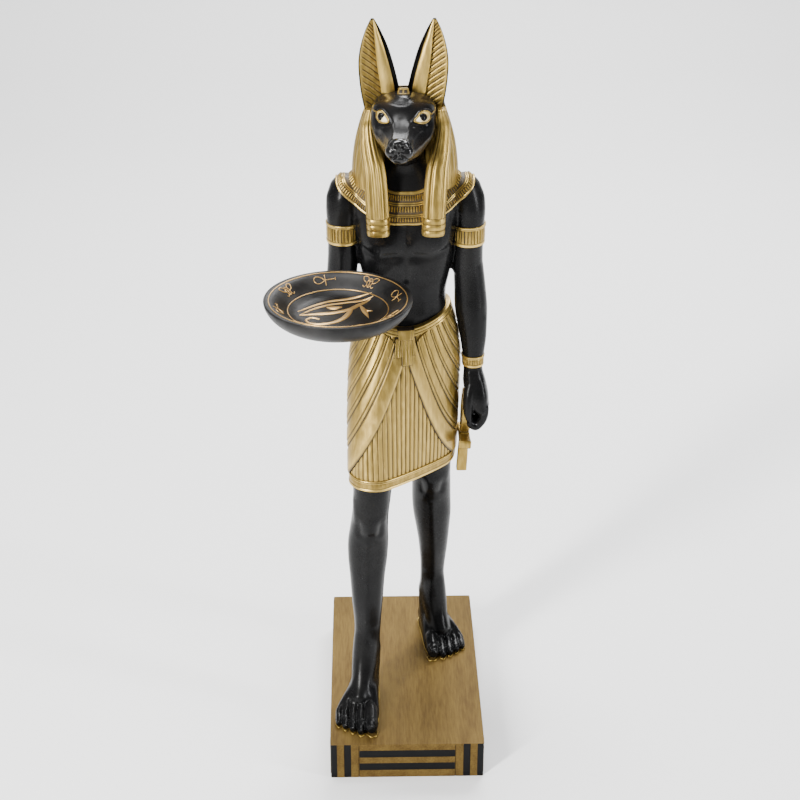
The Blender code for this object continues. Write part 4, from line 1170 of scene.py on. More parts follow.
@dataclass
class Leg:
    """One leg with its bare foot, fused into one skin."""

    side: Side
    rows: Table
    heel: tuple[float, float]
    turn: float
    knee: float
    shin: Path
    ankle: Path
    foot_rows: Table = (
        (0.5, 0, 7, 17), (5, 0, 14, 27), (18, 0, 17.5, 40), (36, 1, 18.6, 44), (52, 3.5, 21, 38),
        (66, 7, 25, 28), (80, 9, 27, 17), (92, 10.5, 26.5, 10), (101, 11, 24, 6),
    )
    toes: Table = (
        (-9.0, 80, 115, 8.3, 14.5), (4.2, 79, 119.5, 5.0, 14.5), (14.2, 78, 118.5, 4.8, 13.5),
        (23.6, 77, 116.5, 4.6, 12.5), (32.4, 75, 113, 4.4, 11),
    )
    # Along a toe: share of its length, share of its radius, share of its sideways place.
    stations: Table = (
        (-0.3, 0.7, 0.66), (0.0, 0.95, 0.9), (0.33, 1.0, 1.0), (0.62, 0.98, 1.0), (0.86, 1.04, 1.0),
        (1.0, 0.86, 1.0),
    )
    slant: float = 0.42
    length: float = 1.0
    voxel: float = 1.15
    triangles: int = 75_000
    # Where the instep runs down from the shin: ahead of the heel, sideways, height.
    bend: Path = ((22, 0, 112), (25.5, 0, 84), (31.5, 0.5, 61), (41, 2, 43), (53, 4, 29), (67, 7, 18))

    def place(self, forwards: Any, outwards: Any, z: Any) -> np.ndarray:
        """Points of the foot from their distance ahead of the heel and their sideways place."""
        s = self.side.value
        a = s * math.radians(self.turn)
        forwards, outwards, z = np.broadcast_arrays(*(np.asarray(v, float) for v in (forwards, outwards, z)))
        ahead = forwards * self.length - self.slant * outwards * np.clip(forwards / 100, 0, 1) ** 2
        x = s * outwards * math.cos(a) + ahead * math.sin(a)
        y = s * outwards * math.sin(a) - ahead * math.cos(a)
        return np.stack([self.heel[0] + x, self.heel[1] + y, z], -1)

    def foot(self) -> list[Form]:
        """The arch and heel with a flat sole, and five toes."""
        rings = []
        turn = 2 * np.pi * (np.arange(36) + 0.5) / 36
        for ahead, shift, width, height in evenly(self.foot_rows, 30):
            z = np.maximum(height * 0.42 + height * 0.58 * np.sin(turn), 0.0)
            spread = np.copysign(np.abs(np.cos(turn)) ** 0.8, np.cos(turn))
            rings.append(self.place(ahead, shift + spread * width, z))
        made = [loft("arch", rings)]
        instep = [self.place(*spot) for spot in self.bend]
        made.append(tube("instep", instep, (9.5, 14.6, 16.4, 16.4, 14.4, 12.5), 28, 40))
        for toe in self.toes:
            line = self.toe_line(toe)
            path, radii = [self.place(*spot[:3]) for spot in line], [spot[3] for spot in line]
            made.append(tube("toe", path, radii, 20, 30))
        return made

    def toe_line(self, toe: tuple[float, ...]) -> list[tuple[float, ...]]:
        """Distance ahead, sideways place, height and radius of the stations of a toe."""
        place, knuckle, tip, width, height = toe
        line = []
        for share, thick, across in self.stations:
            ahead = knuckle + share * (tip - 0.7 * width - knuckle)
            level = width + (height - width) * (1 - share) ** 1.25
            line.append((ahead, place * across, level, thick * width))
        return line

    def nails(self) -> list[Form]:
        """The toenails."""
        made = []
        for toe in self.toes:
            stations = np.array(self.toe_line(toe))
            ahead = np.linspace(stations[3, 0] + 1.0, stations[5, 0] + 0.45 * toe[3], 9)[:, None]
            across = np.linspace(-0.62, 0.62, 9)[None, :]
            level = np.interp(ahead, stations[:, 0], stations[:, 2])
            thick = np.interp(ahead, stations[:, 0], stations[:, 3])
            past = np.clip((ahead - stations[5, 0]) / toe[3], 0, 1)
            crown = level + thick * np.sqrt(1 - 0.6 * across**2 - past**2)
            outer = self.place(ahead + 0 * across, toe[0] + across * thick, crown + 0.55)
            inner = self.place(ahead + 0 * across, toe[0] + across * thick, crown - 2.0)
            made.append(sheet("nail", outer, inner))
        return made

    def strokes(self) -> list[Stroke]:
        """Knee, shin, calf, ankle bones and the foot's tendons."""
        z = self.knee
        (row,) = smooth_rows(self.rows, [z])
        x, front = row[1], row[2] - row[4]
        touches = [
            Stroke([(x, front, z + 4), (x, front, z - 6)], 8.5, 2.2),
            Stroke([(x - 12, front + 5, z + 8), (x - 13, front + 5, z - 12)], 4.5, -1.5),
            Stroke([(x + 12, front + 5, z + 8), (x + 13, front + 5, z - 12)], 4.5, -1.5),
            Stroke([(x - 7, front + 1, z + 17), (x + 7, front + 1, z + 17)], 5.0, -0.8),
            Stroke([(x, front + 1, z - 22), (x, front + 1, z - 26)], 5.0, 1.4),
            Stroke([(x - 16, front + 14, z + 30), (x - 14, front + 8, z + 10)], 7.0, 1.4),
            Stroke([(x + 16, front + 14, z + 30), (x + 14, front + 8, z + 10)], 7.0, 1.4),
            Stroke(self.shin, 4.5, 1.0),
            Stroke([(p[0] - 9, p[1] + 5, p[2]) for p in self.shin[:2]], 5.5, -0.6),
            Stroke([(p[0] + 9, p[1] + 5, p[2]) for p in self.shin[:2]], 5.5, -0.6),
        ]
        for bone in self.ankle:
            touches.append(Stroke([bone], 9.0, 1.1))
        for place, knuckle, _, _, height in self.toes[:4]:
            tendon = [self.place(56, 3 + place * 0.6, 36), self.place(knuckle - 4, place, height + 6)]
            touches.append(Stroke([p.tolist() for p in tendon], 3.6, 0.5))
        for i in range(4):
            a, b = self.toes[i], self.toes[i + 1]
            gap = (a[0] + a[3] * 0.97 + b[0] - b[3] * 0.97) / 2
            deep = [self.place(74, gap, 20), self.place(88, gap, 12), self.place(103, gap, 7)]
            touches.append(Stroke([p.tolist() for p in deep], 1.6, -1.6))
        return touches

    def build(self, shop: Workshop) -> None:
        """Makes and publishes the skin of the leg."""
        name = f"{self.side.name.lower()}_leg_skin"
        clay = Clay(name, self.voxel)
        clay.forms = [Trunk.upright("leg", self.rows, 44), *self.foot(), *self.nails()]
        skin = clay.fused()
        level = skin.points[:, 2]
        ahead = self.heel[1] - skin.points[:, 1]
        skin.relaxed(12, np.clip((level - 22) / 30, 0.08, 1.0))
        low_fade, high_fade = np.clip((level - 6) / 12, 0, 1), np.clip((140 - level) / 25, 0, 1)
        skin.relaxed(70, low_fade * high_fade * np.clip((74 - ahead) / 12, 0, 1), back=0.0)
        modelled(skin, self.strokes())
        skin.relaxed(1, 0.6)
        low = skin.points[:, 2] < 0.9
        skin.points[low, 2] = np.maximum(skin.points[low, 2] * 0.3, 0.0)
        shop.publish(skin.thinned(self.triangles), Paint.SKIN, Node.FIGURE, 60)

    def sole_edge(self) -> np.ndarray:
        """The outline of the foot on the plinth."""
        rows = evenly(self.foot_rows, 24)
        inner = [self.place(r[0], r[1] - r[2] * 0.97, 0.3) for r in rows]
        outer = [self.place(r[0], r[1] + r[2] * 0.97, 0.3) for r in rows]
        tips = []
        for place, knuckle, tip, width, _ in self.toes:
            for share, across in ((0.62, -1.0), (0.9, -0.8), (1.03, 0.0), (0.9, 0.8), (0.62, 1.0)):
                tips.append(self.place(knuckle + share * (tip - knuckle), place + across * width, 0.3))
        return np.array(inner + tips + outer[::-1])


# The stage.


@dataclass
class Studio:
    """The photograph's view, a pale floor and soft light."""

    place: tuple[float, float, float] = (-0.0439, -1.900, 1.396)
    pitch: float = 26.61
    yaw: float = 1.15
    lens: float = 78.1

    def camera(self) -> None:
        """Sets the camera where the photograph was taken from."""
        lens = bpy.data.cameras.new("photo_view")
        lens.lens, lens.sensor_width = self.lens, 36.0
        holder = bpy.data.objects.new("photo_view", lens)
        bpy.context.scene.collection.objects.link(holder)
        p, y = math.radians(self.pitch), math.radians(self.yaw)
        way = Vector((math.sin(y) * math.cos(p), math.cos(y) * math.cos(p), -math.sin(p)))
        holder.location = self.place
        holder.rotation_euler = way.to_track_quat("-Z", "Y").to_euler()
        bpy.context.scene.camera = holder

    def floor(self) -> None:
        """A plain pale floor that curves up behind."""
        mesh = bpy.data.meshes.new("floor")
        profile = [(-6.0, 0.0), (2.4, 0.0), (2.8, 0.05), (3.15, 0.2), (3.4, 0.5), (3.5, 0.9), (3.5, 5.0)]
        points = [(x, y, z) for x in (-6.0, 6.0) for y, z in profile]
        count = len(profile)
        faces = [(i, i + count, i + count + 1, i + 1) for i in range(count - 1)]
        mesh.from_pydata(points, [], faces)
        mesh.shade_smooth()
        made = bpy.data.objects.new("floor", mesh)
        bpy.context.scene.collection.objects.link(made)
        g = PaintGraph("pale_floor")
        made.data.materials.append(g.surface(base_color=(0.84, 0.84, 0.84, 1.0), roughness=0.9))
        made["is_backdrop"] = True

    def light(self, name: str, place: tuple[float, float, float], aim: tuple[float, float, float],
              size: tuple[float, float], power: float, colour: tuple[float, float, float]) -> None:
        """One soft panel of light."""
        lamp = bpy.data.lights.new(name, "AREA")
        lamp.shape, lamp.size, lamp.size_y = "RECTANGLE", size[0], size[1]
        lamp.energy, lamp.color = power, colour
        holder = bpy.data.objects.new(name, lamp)
        bpy.context.scene.collection.objects.link(holder)
        holder.location = place
        holder.rotation_euler = (Vector(aim) - Vector(place)).to_track_quat("-Z", "Y").to_euler()

    def build(self) -> None:
        """Sets up camera, floor, lights and the pale surroundings."""
        self.camera()
        self.floor()
        self.light("key", (-1.5, -1.8, 1.6), (0, 0, 0.55), (0.24, 1.5), 150, (1.0, 0.99, 0.97))
        self.light("fill", (2.0, -0.9, 1.1), (0, 0, 0.5), (0.25, 1.6), 45, (0.97, 0.98, 1.0))
        self.light("top", (-0.35, 0.35, 3.0), (0, 0.1, 0.0), (0.8, 0.8), 80, (1.0, 1.0, 1.0))
        self.light("back", (0.6, 2.0, 2.6), (0, 1.0, 0.0), (1.8, 1.0), 150, (1.0, 1.0, 1.0))
        world = bpy.data.worlds.new("pale_room")
        world.use_nodes = True
        world.node_tree.nodes["Background"].inputs["Color"].default_value = (0.95, 0.97, 1.0, 1.0)
        world.node_tree.nodes["Background"].inputs["Strength"].default_value = 0.3
        bpy.context.scene.world = world


# The head.


def head_touch(path: Path, reach: float, height: float, edge: float = 2.0) -> Stroke:
    """A stroke drawn as if the head faced straight ahead."""
    return Stroke(turned_with_head(np.array(path)).tolist(), reach, height, edge)


@dataclass
class Head:
    """The jackal's head: skull, muzzle, nose pad and eyes, drawn as if it faced straight ahead."""

    # Distance forwards, level, half width, height up and down, squareness, then the jaw's
    # share of that width and its sideways shift.
    skull: Table = (
        (-34, 758, 20, 11, 16, 2, 1, 0), (-22, 760, 32, 16, 25, 2, 1, 0), (0, 762, 36.5, 20.5, 35, 2.1, 1, 0),
        (20, 761, 36.5, 22.5, 36, 2.2, 1, 0), (34, 759, 34.5, 23.5, 35, 2.2, 1.02, 0.6),
        (44, 757, 30.5, 20, 35, 2.3, 1.06, 1.2), (53, 754, 25, 15.5, 33, 2.4, 1.15, 1.7),
        (63, 751, 20, 12, 29, 2.4, 1.24, 1.8), (75, 748.5, 16.4, 9.5, 24, 2.5, 1.2, 1.2),
        (86, 747, 14.4, 8.5, 20, 2.6, 1.08, 0.3), (94, 746, 12.6, 8, 17, 2.6, 1, 0),
        (98, 745, 9.0, 6, 11, 2.4, 1, 0),
    )
    # Outlines of the eyes from the inner corner over the top: side, forwards, height.
    eyes: dict[Side, Path] = field(default_factory=lambda: {
        Side.RIGHT: [
            (-14.0, 58.4, 763.3), (-16.6, 51.4, 767.6), (-19.8, 46.8, 770.4), (-24.6, 42.3, 771.9),
            (-27.6, 41.2, 769.5), (-28.3, 44.3, 765.2), (-26.4, 47.9, 762.4), (-21.9, 53.8, 761.4),
            (-17.9, 57.3, 762.3),
        ],
        Side.LEFT: [
            (14.4, 57.1, 764.4), (17.6, 50.8, 768.1), (21.1, 45.4, 771.4), (25.7, 40.9, 771.7),
            (30.0, 37.0, 769.3), (31.9, 37.0, 764.0), (29.7, 43.3, 761.4), (25.0, 50.7, 760.6),
            (18.9, 56.7, 762.8),
        ],
    })
    pupils: dict[Side, tuple[float, ...]] = field(default_factory=lambda: {
        Side.RIGHT: (-22.2, 48.8, 766.9), Side.LEFT: (22.9, 48.2, 766.9),
    })
    pupil_radius: float = 4.9
    # The pupil's rings as radius, for a pupil of 3.7, and lift.
    pupil_rings: Table = (
        (0.3, 1.2), (1.6, 1.16), (2.8, 1.0), (3.5, 0.7), (3.7, 0.2), (3.7, -2.5), (0.3, -2.5),
    )
    voxel: float = 0.85
    nose_voxel: float = 0.5
    triangles: int = 75_000
    nose_triangles: int = 14_000
    tails: dict[Side, Path] = field(default_factory=lambda: {
        Side.RIGHT: [(-28.2, 40.2, 769.2), (-31.4, 34.0, 768.8), (-34.4, 25.3, 769.6), (-34.6, 20.0, 776.0)],
        Side.LEFT: [(31.9, 35.7, 766.9), (33.4, 28.0, 766.6), (35.6, 18.0, 768.4), (34.4, 15.0, 777.0)],
    })

    def strokes(self) -> list[Stroke]:
        """Brows, lids, cheeks and the flat bridge of the nose."""
        brow = [(-30, 29, 774.5), (-21, 36, 777.5), (-12.6, 41, 778), (-3.4, 44, 776), (3.4, 44, 776),
                (10, 41, 778), (21, 35, 777), (33, 20, 773)]
        touches = [
            head_touch(brow, 4.5, 0.9),
            head_touch([(x, f - 9, z + 5) for x, f, z in brow], 6.0, -0.8),
            head_touch([(0, 30, 786), (0, 18, 788)], 8.0, 0.9),
            head_touch([(-9.4, 61, 763), (-8.6, 74, 758), (-8.2, 88, 754)], 2.2, 0.9),
            head_touch([(9.4, 61, 763), (8.6, 74, 758), (8.2, 88, 754)], 2.2, 0.9),
            head_touch([(0, 60, 767), (0, 86, 757)], 5.5, -0.7),
            head_touch([(-15.5, 66, 757), (-13.5, 82, 750)], 6.5, -1.5),
            head_touch([(15.5, 66, 757), (13.5, 82, 750)], 6.5, -1.5),
        ]
        for s in (-1, 1):
            touches += [
                head_touch([(s * 21, 49, 766)], 11.0, -1.8),
                head_touch([(s * 13.6, 61.5, 761), (s * 20.5, 57, 758), (s * 27.5, 49, 757.4)], 2.2, -1.0),
                head_touch([(s * 14.5, 62, 757), (s * 21.5, 57, 754.4), (s * 28.5, 48, 754)], 3.4, 0.9),
                head_touch([(s * 31, 36, 750), (s * 29, 44, 742)], 9.0, 1.7),
                head_touch([(s * 24, 52, 745), (s * 18, 66, 742)], 7.0, -1.1),
                head_touch([(s * 25, 40, 729), (s * 14, 70, 728), (s * 10, 84, 729)], 4.0, 1.0),
            ]
        for side in Side:
            outline = smooth_path(self.eyes[side], 56, closed=True)
            middle = outline.mean(axis=0)
            arch = outline[2:30] - middle
            touches.append(head_touch((middle + arch * 1.17 + (0, 0.6, 0.5)).tolist(), 1.5, 1.6))
            touches.append(head_touch((middle + arch * 1.42 + (0, 0, 1.0)).tolist(), 1.6, -0.9))
        return touches

    def nose(self, shop: Workshop) -> None:
        """The glossy nose pad with the lips' two lobes under it."""
        clay = Clay("nose_pad", self.nose_voxel)
        spots = (
            ((0, 92.6, 748), (12.2, 9.0, 8.2)), ((-7.4, 91, 741), (8.4, 9.2, 9.0)),
            ((7.4, 91, 741), (8.4, 9.2, 9.0)),
            ((0, 90.8, 734.5), (10.6, 9.6, 8.0)), ((0, 92.5, 741), (9.0, 8.6, 9.0)),
        )
        for centre, size in spots:
            clay.forms.append(ball("lobe", turned_with_head(np.array(centre))[0], size, -HEAD_TURN))
        pad = clay.fused().relaxed(16)
        touches = [
            head_touch([(0, 101.4, 752), (0, 101.8, 746), (0, 100, 741.5)], 1.1, -1.3),
            head_touch([(0, 100, 741.5), (-4.2, 99.2, 737.2), (-8.6, 95, 733.6)], 1.3, -1.9),
            head_touch([(0, 100, 741.5), (4.2, 99.2, 737.2), (8.6, 95, 733.6)], 1.3, -1.9),
        ]
        for s in (-1, 1):
            touches += [
                head_touch([(s * 4.3, 100.6, 748.4)], 2.1, -2.6),
                head_touch(
                    [(s * 4.9, 100.2, 748.2), (s * 7.8, 97.5, 746.6), (s * 9.8, 93.5, 746.4)], 1.2, -1.5
                ),
                head_touch([(s * 5.6, 98.8, 752.4), (s * 8.8, 94.5, 750.4)], 1.7, 0.8),
            ]
            for x, z in ((6.5, 742.5), (9.3, 741.0), (7.5, 739.4), (10.5, 738.0)):
                touches.append(head_touch([(s * x, 98.5 - 0.45 * (x - 6), z)], 0.75, -0.5))
        modelled(pad, touches)
        shop.publish(pad.relaxed(1, 0.5).thinned(self.nose_triangles), Paint.NOSE, Node.FIGURE, 70)

    def eye(self, side: Side, shop: Workshop, lines: LineMaker, ground: Ground) -> None:
        """One eye: its cream ball, the pupil, and the gold rim that runs out to the ear."""
        outline = smooth_path(self.eyes[side], 56, closed=True)
        middle = outline.mean(axis=0)
        outline = middle + (outline - middle) * 0.93
        away = np.array([side.value * 0.72, 0.66, 0.22])
        core = middle - away / np.linalg.norm(away) * 13.0
        edge = np.linalg.norm(outline - core, axis=1)
        crown = edge.mean() + 0.9

        def dome(share: float, lift: float) -> np.ndarray:
            toward = middle + (outline - middle) * share - core
            toward /= np.linalg.norm(toward, axis=1, keepdims=True)
            reach = crown + (edge - crown) * share**2 + lift
            return core + toward * reach[:, None]

        shares = np.linspace(0.02, 1.0, 14)
        outer = np.stack([dome(s, 0.0) for s in shares])
        inner = np.stack([dome(s, -3.0) for s in shares])
        outer, inner = (turned_with_head(g.reshape(-1, 3)).reshape(g.shape) for g in (outer, inner))
        from_corner = np.abs(outer[..., 0] - outer[-1, 0, 0])
        wash = 0.9 * smoothstep((from_corner - 5.5) / 3.0)
        wash = wash + 0.4 * np.clip((outer[..., 2] - middle[2] - 1.0) / 3.0, 0, 1)
        wash = np.clip(wash + 0.9 * (shares[:, None] > 0.8), 0, 1)
        ball_form = loft(f"{side.name.lower()}_eye", [*outer, *inner[::-1]])
        ball_form.marks["wash"] = np.concatenate([wash.reshape(-1), wash[::-1].reshape(-1)])
        shop.publish(ball_form, Paint.EYE, Node.FIGURE, 70)

        spot = np.array(self.pupils[side]) - core
        spot /= np.linalg.norm(spot)
        u = np.cross(spot, (0, 0, 1.0))
        u /= np.linalg.norm(u)
        v = np.cross(u, spot)
        turn = 2 * np.pi * np.arange(32)[:, None] / 32
        grid = np.stack([dome(share, 0.0) for share in np.linspace(0.02, 1.0, 14)]).reshape(-1, 3) - core
        far = np.linalg.norm(grid, axis=1)
        disc = []
        for radius, lift in self.pupil_rings:
            scaled = radius * self.pupil_radius / 3.7
            way = spot * crown + scaled * (u * np.cos(turn) + v * np.sin(turn))
            way /= np.linalg.norm(way, axis=1, keepdims=True)
            near = np.argmax(way @ (grid / far[:, None]).T, axis=1)
            reach = far[near].mean() * 0.4 + far[near] * 0.6 + lift
            disc.append(turned_with_head(core + way * reach[:, None]))
        shop.publish(loft(f"{side.name.lower()}_pupil", disc), Paint.PUPIL, Node.FIGURE, 70)

        rim = turned_with_head(dome(1.03, 0.25))
        tail = turned_with_head(smooth_path(self.tails[side], 20))
        tail = np.array([ground.nearest(p, 0.15) for p in tail])
        thick = [np.full(len(rim), 1.0), np.linspace(1.0, 0.45, len(tail))]
        name = f"{side.name.lower()}_eye_rim"
        lines.lines(name, [(rim, True), (tail, False)], 1.0, Paint.GOLD, Node.FIGURE, thick)

    def ornament(self, shop: Workshop) -> None:
        """The small gold block on the brow, with two square insets."""
        rows, columns = 26, 30
        u = np.linspace(-1, 1, columns)[None, :] + np.zeros((rows, 1))
        v = np.linspace(0, 1, rows)[:, None] + np.zeros((1, columns))
        x = u * (5.8 + 1.4 * (1 - v))
        ahead = 15.5 + 5.0 * (1 - v) ** 1.2 - 1.6 * u**4
        z = 783.0 + 7.0 * v - 0.8 * u**4
        inset = (np.abs(np.abs(u) - 0.42) < 0.26) & (np.abs(v - 0.45) < 0.24)
        band = np.abs(v - 0.12) < 0.04
        groove = inset.astype(float) + band
        outer = np.stack([x, ahead - 0.8 * groove, z], -1)
        inner = np.stack([x * 0.9, np.full_like(x, 4.0), z - 3], -1)
        outer, inner = (turned_with_head(g.reshape(-1, 3)).reshape(g.shape) for g in (outer, inner))
        marks = {"groove": 0.35 + 0.65 * np.clip(groove, 0, 1)}
        shop.publish(sheet("brow_ornament", outer, inner, marks=marks), Paint.GOLD, Node.FIGURE)

    def build(self, shop: Workshop, lines: LineMaker) -> None:
        """Makes and publishes the head."""
        clay = Clay("head_skin", self.voxel)
        rings = []
        for ahead, level, width, up, down, square, jaw, shift in evenly(self.skull, 44):
            ring = oval(width, down, up, square, 56)
            low = smoothstep(-ring[:, 1] / 10.0)
            ring[:, 0] = ring[:, 0] * (1 + (jaw - 1) * low) + shift * low
            ring[:, 1] += level
            rings.append(turned_with_head(np.column_stack([ring[:, 0], np.full(56, ahead), ring[:, 1]])))
        clay.forms = [loft("skull", rings), ball("throat", (-1, -6, 722), (22.5, 20, 30))]
        skin = modelled(clay.fused().relaxed(10), self.strokes())
        skin = skin.relaxed(1).thinned(self.triangles)
        side = skin.points @ np.array([math.cos(HEAD_TURN), -math.sin(HEAD_TURN), 0]) + 1.0
        ahead = -skin.points[:, 1]
        wash = 0.4 * np.exp(-(((skin.points[:, 2] - 780) / 4) ** 2)) * np.clip((np.abs(side) - 9) / 8, 0, 1)
        jaw = np.exp(-(((skin.points[:, 2] - 733) / 8) ** 2)) * np.clip((ahead - 30) / 20, 0, 1)
        wash += 0.6 * jaw * np.clip((86 - ahead) / 8, 0, 1)
        wash *= ahead > 8
        skin.marks["wash"] = np.clip(wash, 0, 1)
        shop.publish(skin, Paint.SKIN, Node.FIGURE, 70)
        self.nose(shop)
        ground = Ground(skin)
        for which in Side:
            self.eye(which, shop, lines, ground)
        self.ornament(shop)


@dataclass
class Ear:
    """One tall ear: a black shell, a ribbed gold lining and the smooth flap over its inner half."""

    side: Side
    rows: Table = (
        (756, 27, 15.5, 0), (767, 25.2, 20.2, -1), (784, 26.5, 21.9, -2), (800, 28.9, 21.1, -2.5),
        (816, 31.2, 19.2, -2.5), (832, 32.6, 15.6, -2), (846, 33.6, 10.6, -1.5), (856, 34.1, 6.1, -1),
        (864, 34.4, 1.6, -0.5),
    )
    shift: float = -1.9
    depth: float = 8.0
    rib_places: tuple[float, ...] = (
        854, 849.6, 845, 840, 834.5, 828.5, 822, 815, 807.5, 800, 792.3, 784.6, 777, 769.4, 762, 755,
    )
    rib_rise: float = 0.95
    rib_depth: float = 1.4
    ridge: float = -0.08

    def surface(self, z: np.ndarray, u: np.ndarray, y: np.ndarray) -> np.ndarray:
        """Points of the ear from height, place across (1 is its outer edge) and forward offset."""
        rows = smooth_rows(self.rows, z.reshape(-1)).reshape(*z.shape, 4)
        x = self.shift + self.side.value * (rows[..., 1] + u * rows[..., 2])
        return np.stack([x, rows[..., 3] + y, z], -1)

    def size_at(self, z: np.ndarray) -> np.ndarray:
        """Half width of the ear at each height."""
        return smooth_rows(self.rows, z.reshape(-1))[:, 2].reshape(z.shape)

    def shell(self) -> Form:
        """The black back and rim."""
        levels = np.linspace(757, 863.9, 80)
        rings = []
        for z in levels:
            width = float(self.size_at(np.array([z]))[0])
            thin = min(1.0, width / 12)
            turn = np.linspace(0, np.pi, 26)
            u_back, y_back = np.cos(turn), 2 + self.depth * thin * np.sin(turn)
            u_front = np.linspace(-0.985, 0.985, 26)
            y_front = 5.2 * thin * np.clip((1 - np.abs(u_front)) / 0.1, 0, 1) ** 0.8
            u, y = np.concatenate([u_back, u_front]), np.concatenate([y_back, y_front])
            rings.append(self.surface(np.full(len(u), z), u, y))
        return loft(f"{self.side.name.lower()}_ear_shell", rings)

    def lining(self) -> Form:
        """The gold lining with diagonal ribs in its outer half."""
        rows, columns = 210, 40
        z = np.linspace(758.5, 862.4, rows)[:, None] + np.zeros((1, columns))
        reach = 0.93 - 0.12 * np.clip((z - 850) / 12, 0, 1)
        start = -0.5 - 0.22 * np.clip((784 - z) / 10, 0, 1) + 0.25 * np.clip((770 - z) / 12, 0, 1)
        u = start + (reach - start) * np.linspace(0, 1, columns)[None, :]
        width = self.size_at(z)
        thin = np.minimum(1.0, width / 12)
        w = np.clip((u - self.ridge) / (0.93 - self.ridge), 0, 1)
        y = thin * (3.6 * (1 - w) ** 0.9 - 0.3 * w)
        outward_mm = np.maximum(u - self.ridge, 0) * width
        groove = np.zeros_like(z)
        for place in self.rib_places:
            rise = self.rib_rise * (1.0 + 0.35 * np.clip((place - 815) / 40, 0, 1))
            line = place + rise * outward_mm - 0.006 * outward_mm**2
            groove = np.maximum(groove, np.exp(-(((z - line) / 0.95) ** 2)))
        groove *= (u > self.ridge - 0.02) * np.clip((0.9 - w) / 0.06, 0, 1)
        shadow = np.exp(-(((u - self.ridge) * width / 1.6) ** 2))
        outer = self.surface(z, u, y + self.rib_depth * groove)
        inner = self.surface(z, u, y + 3.2)
        # A painted highlight along the outer edge of the lining.
        crest = 0.5 * np.exp(-(((w - 0.95) / 0.08) ** 2))
        marks = {"groove": np.clip(groove + 0.5 * shadow, 0, 1), "crest": crest}
        return sheet(f"{self.side.name.lower()}_ear_lining", outer, inner, marks=marks)

    def flap(self) -> Form:
        """The smooth bulging fold beside the ribs."""
        rows, columns = 90, 28
        z = np.linspace(777.5, 862.8, rows)[:, None] + np.zeros((1, columns))
        t = np.linspace(0, 1, columns)[None, :] + np.zeros((rows, 1))
        low = -0.75 + 0.07 * np.clip((z - 800) / 50, 0, 1)
        foot = np.clip((z - 777.5) / 3.0, 0, 1) ** 0.5
        u = low + (self.ridge + 0.02 - low) * t
        thin = np.minimum(1.0, self.size_at(z) / 12)
        bulge = np.sin(np.pi * np.clip(0.12 + 0.8 * t, 0, 1)) ** 0.8
        y = -thin * (3.1 * bulge * (0.35 + 0.65 * foot) - 1.2)
        outer = self.surface(z, u, y)
        inner = self.surface(z, u, np.full_like(z, 4.6) * thin)
        # A painted highlight on the top of the bulge.
        marks = {"crest": 0.95 * bulge**3, "groove": 0.25 * np.exp(-((t / 0.05) ** 2))}
        return sheet(f"{self.side.name.lower()}_ear_flap", outer, inner, marks=marks)

    def build(self, shop: Workshop) -> None:
        """Makes and publishes the ear."""
        shop.publish(self.shell(), Paint.SKIN, Node.FIGURE, 55)
        shop.publish(self.lining(), Paint.GOLD, Node.FIGURE, 30)
        shop.publish(self.flap(), Paint.GOLD, Node.FIGURE, 60)


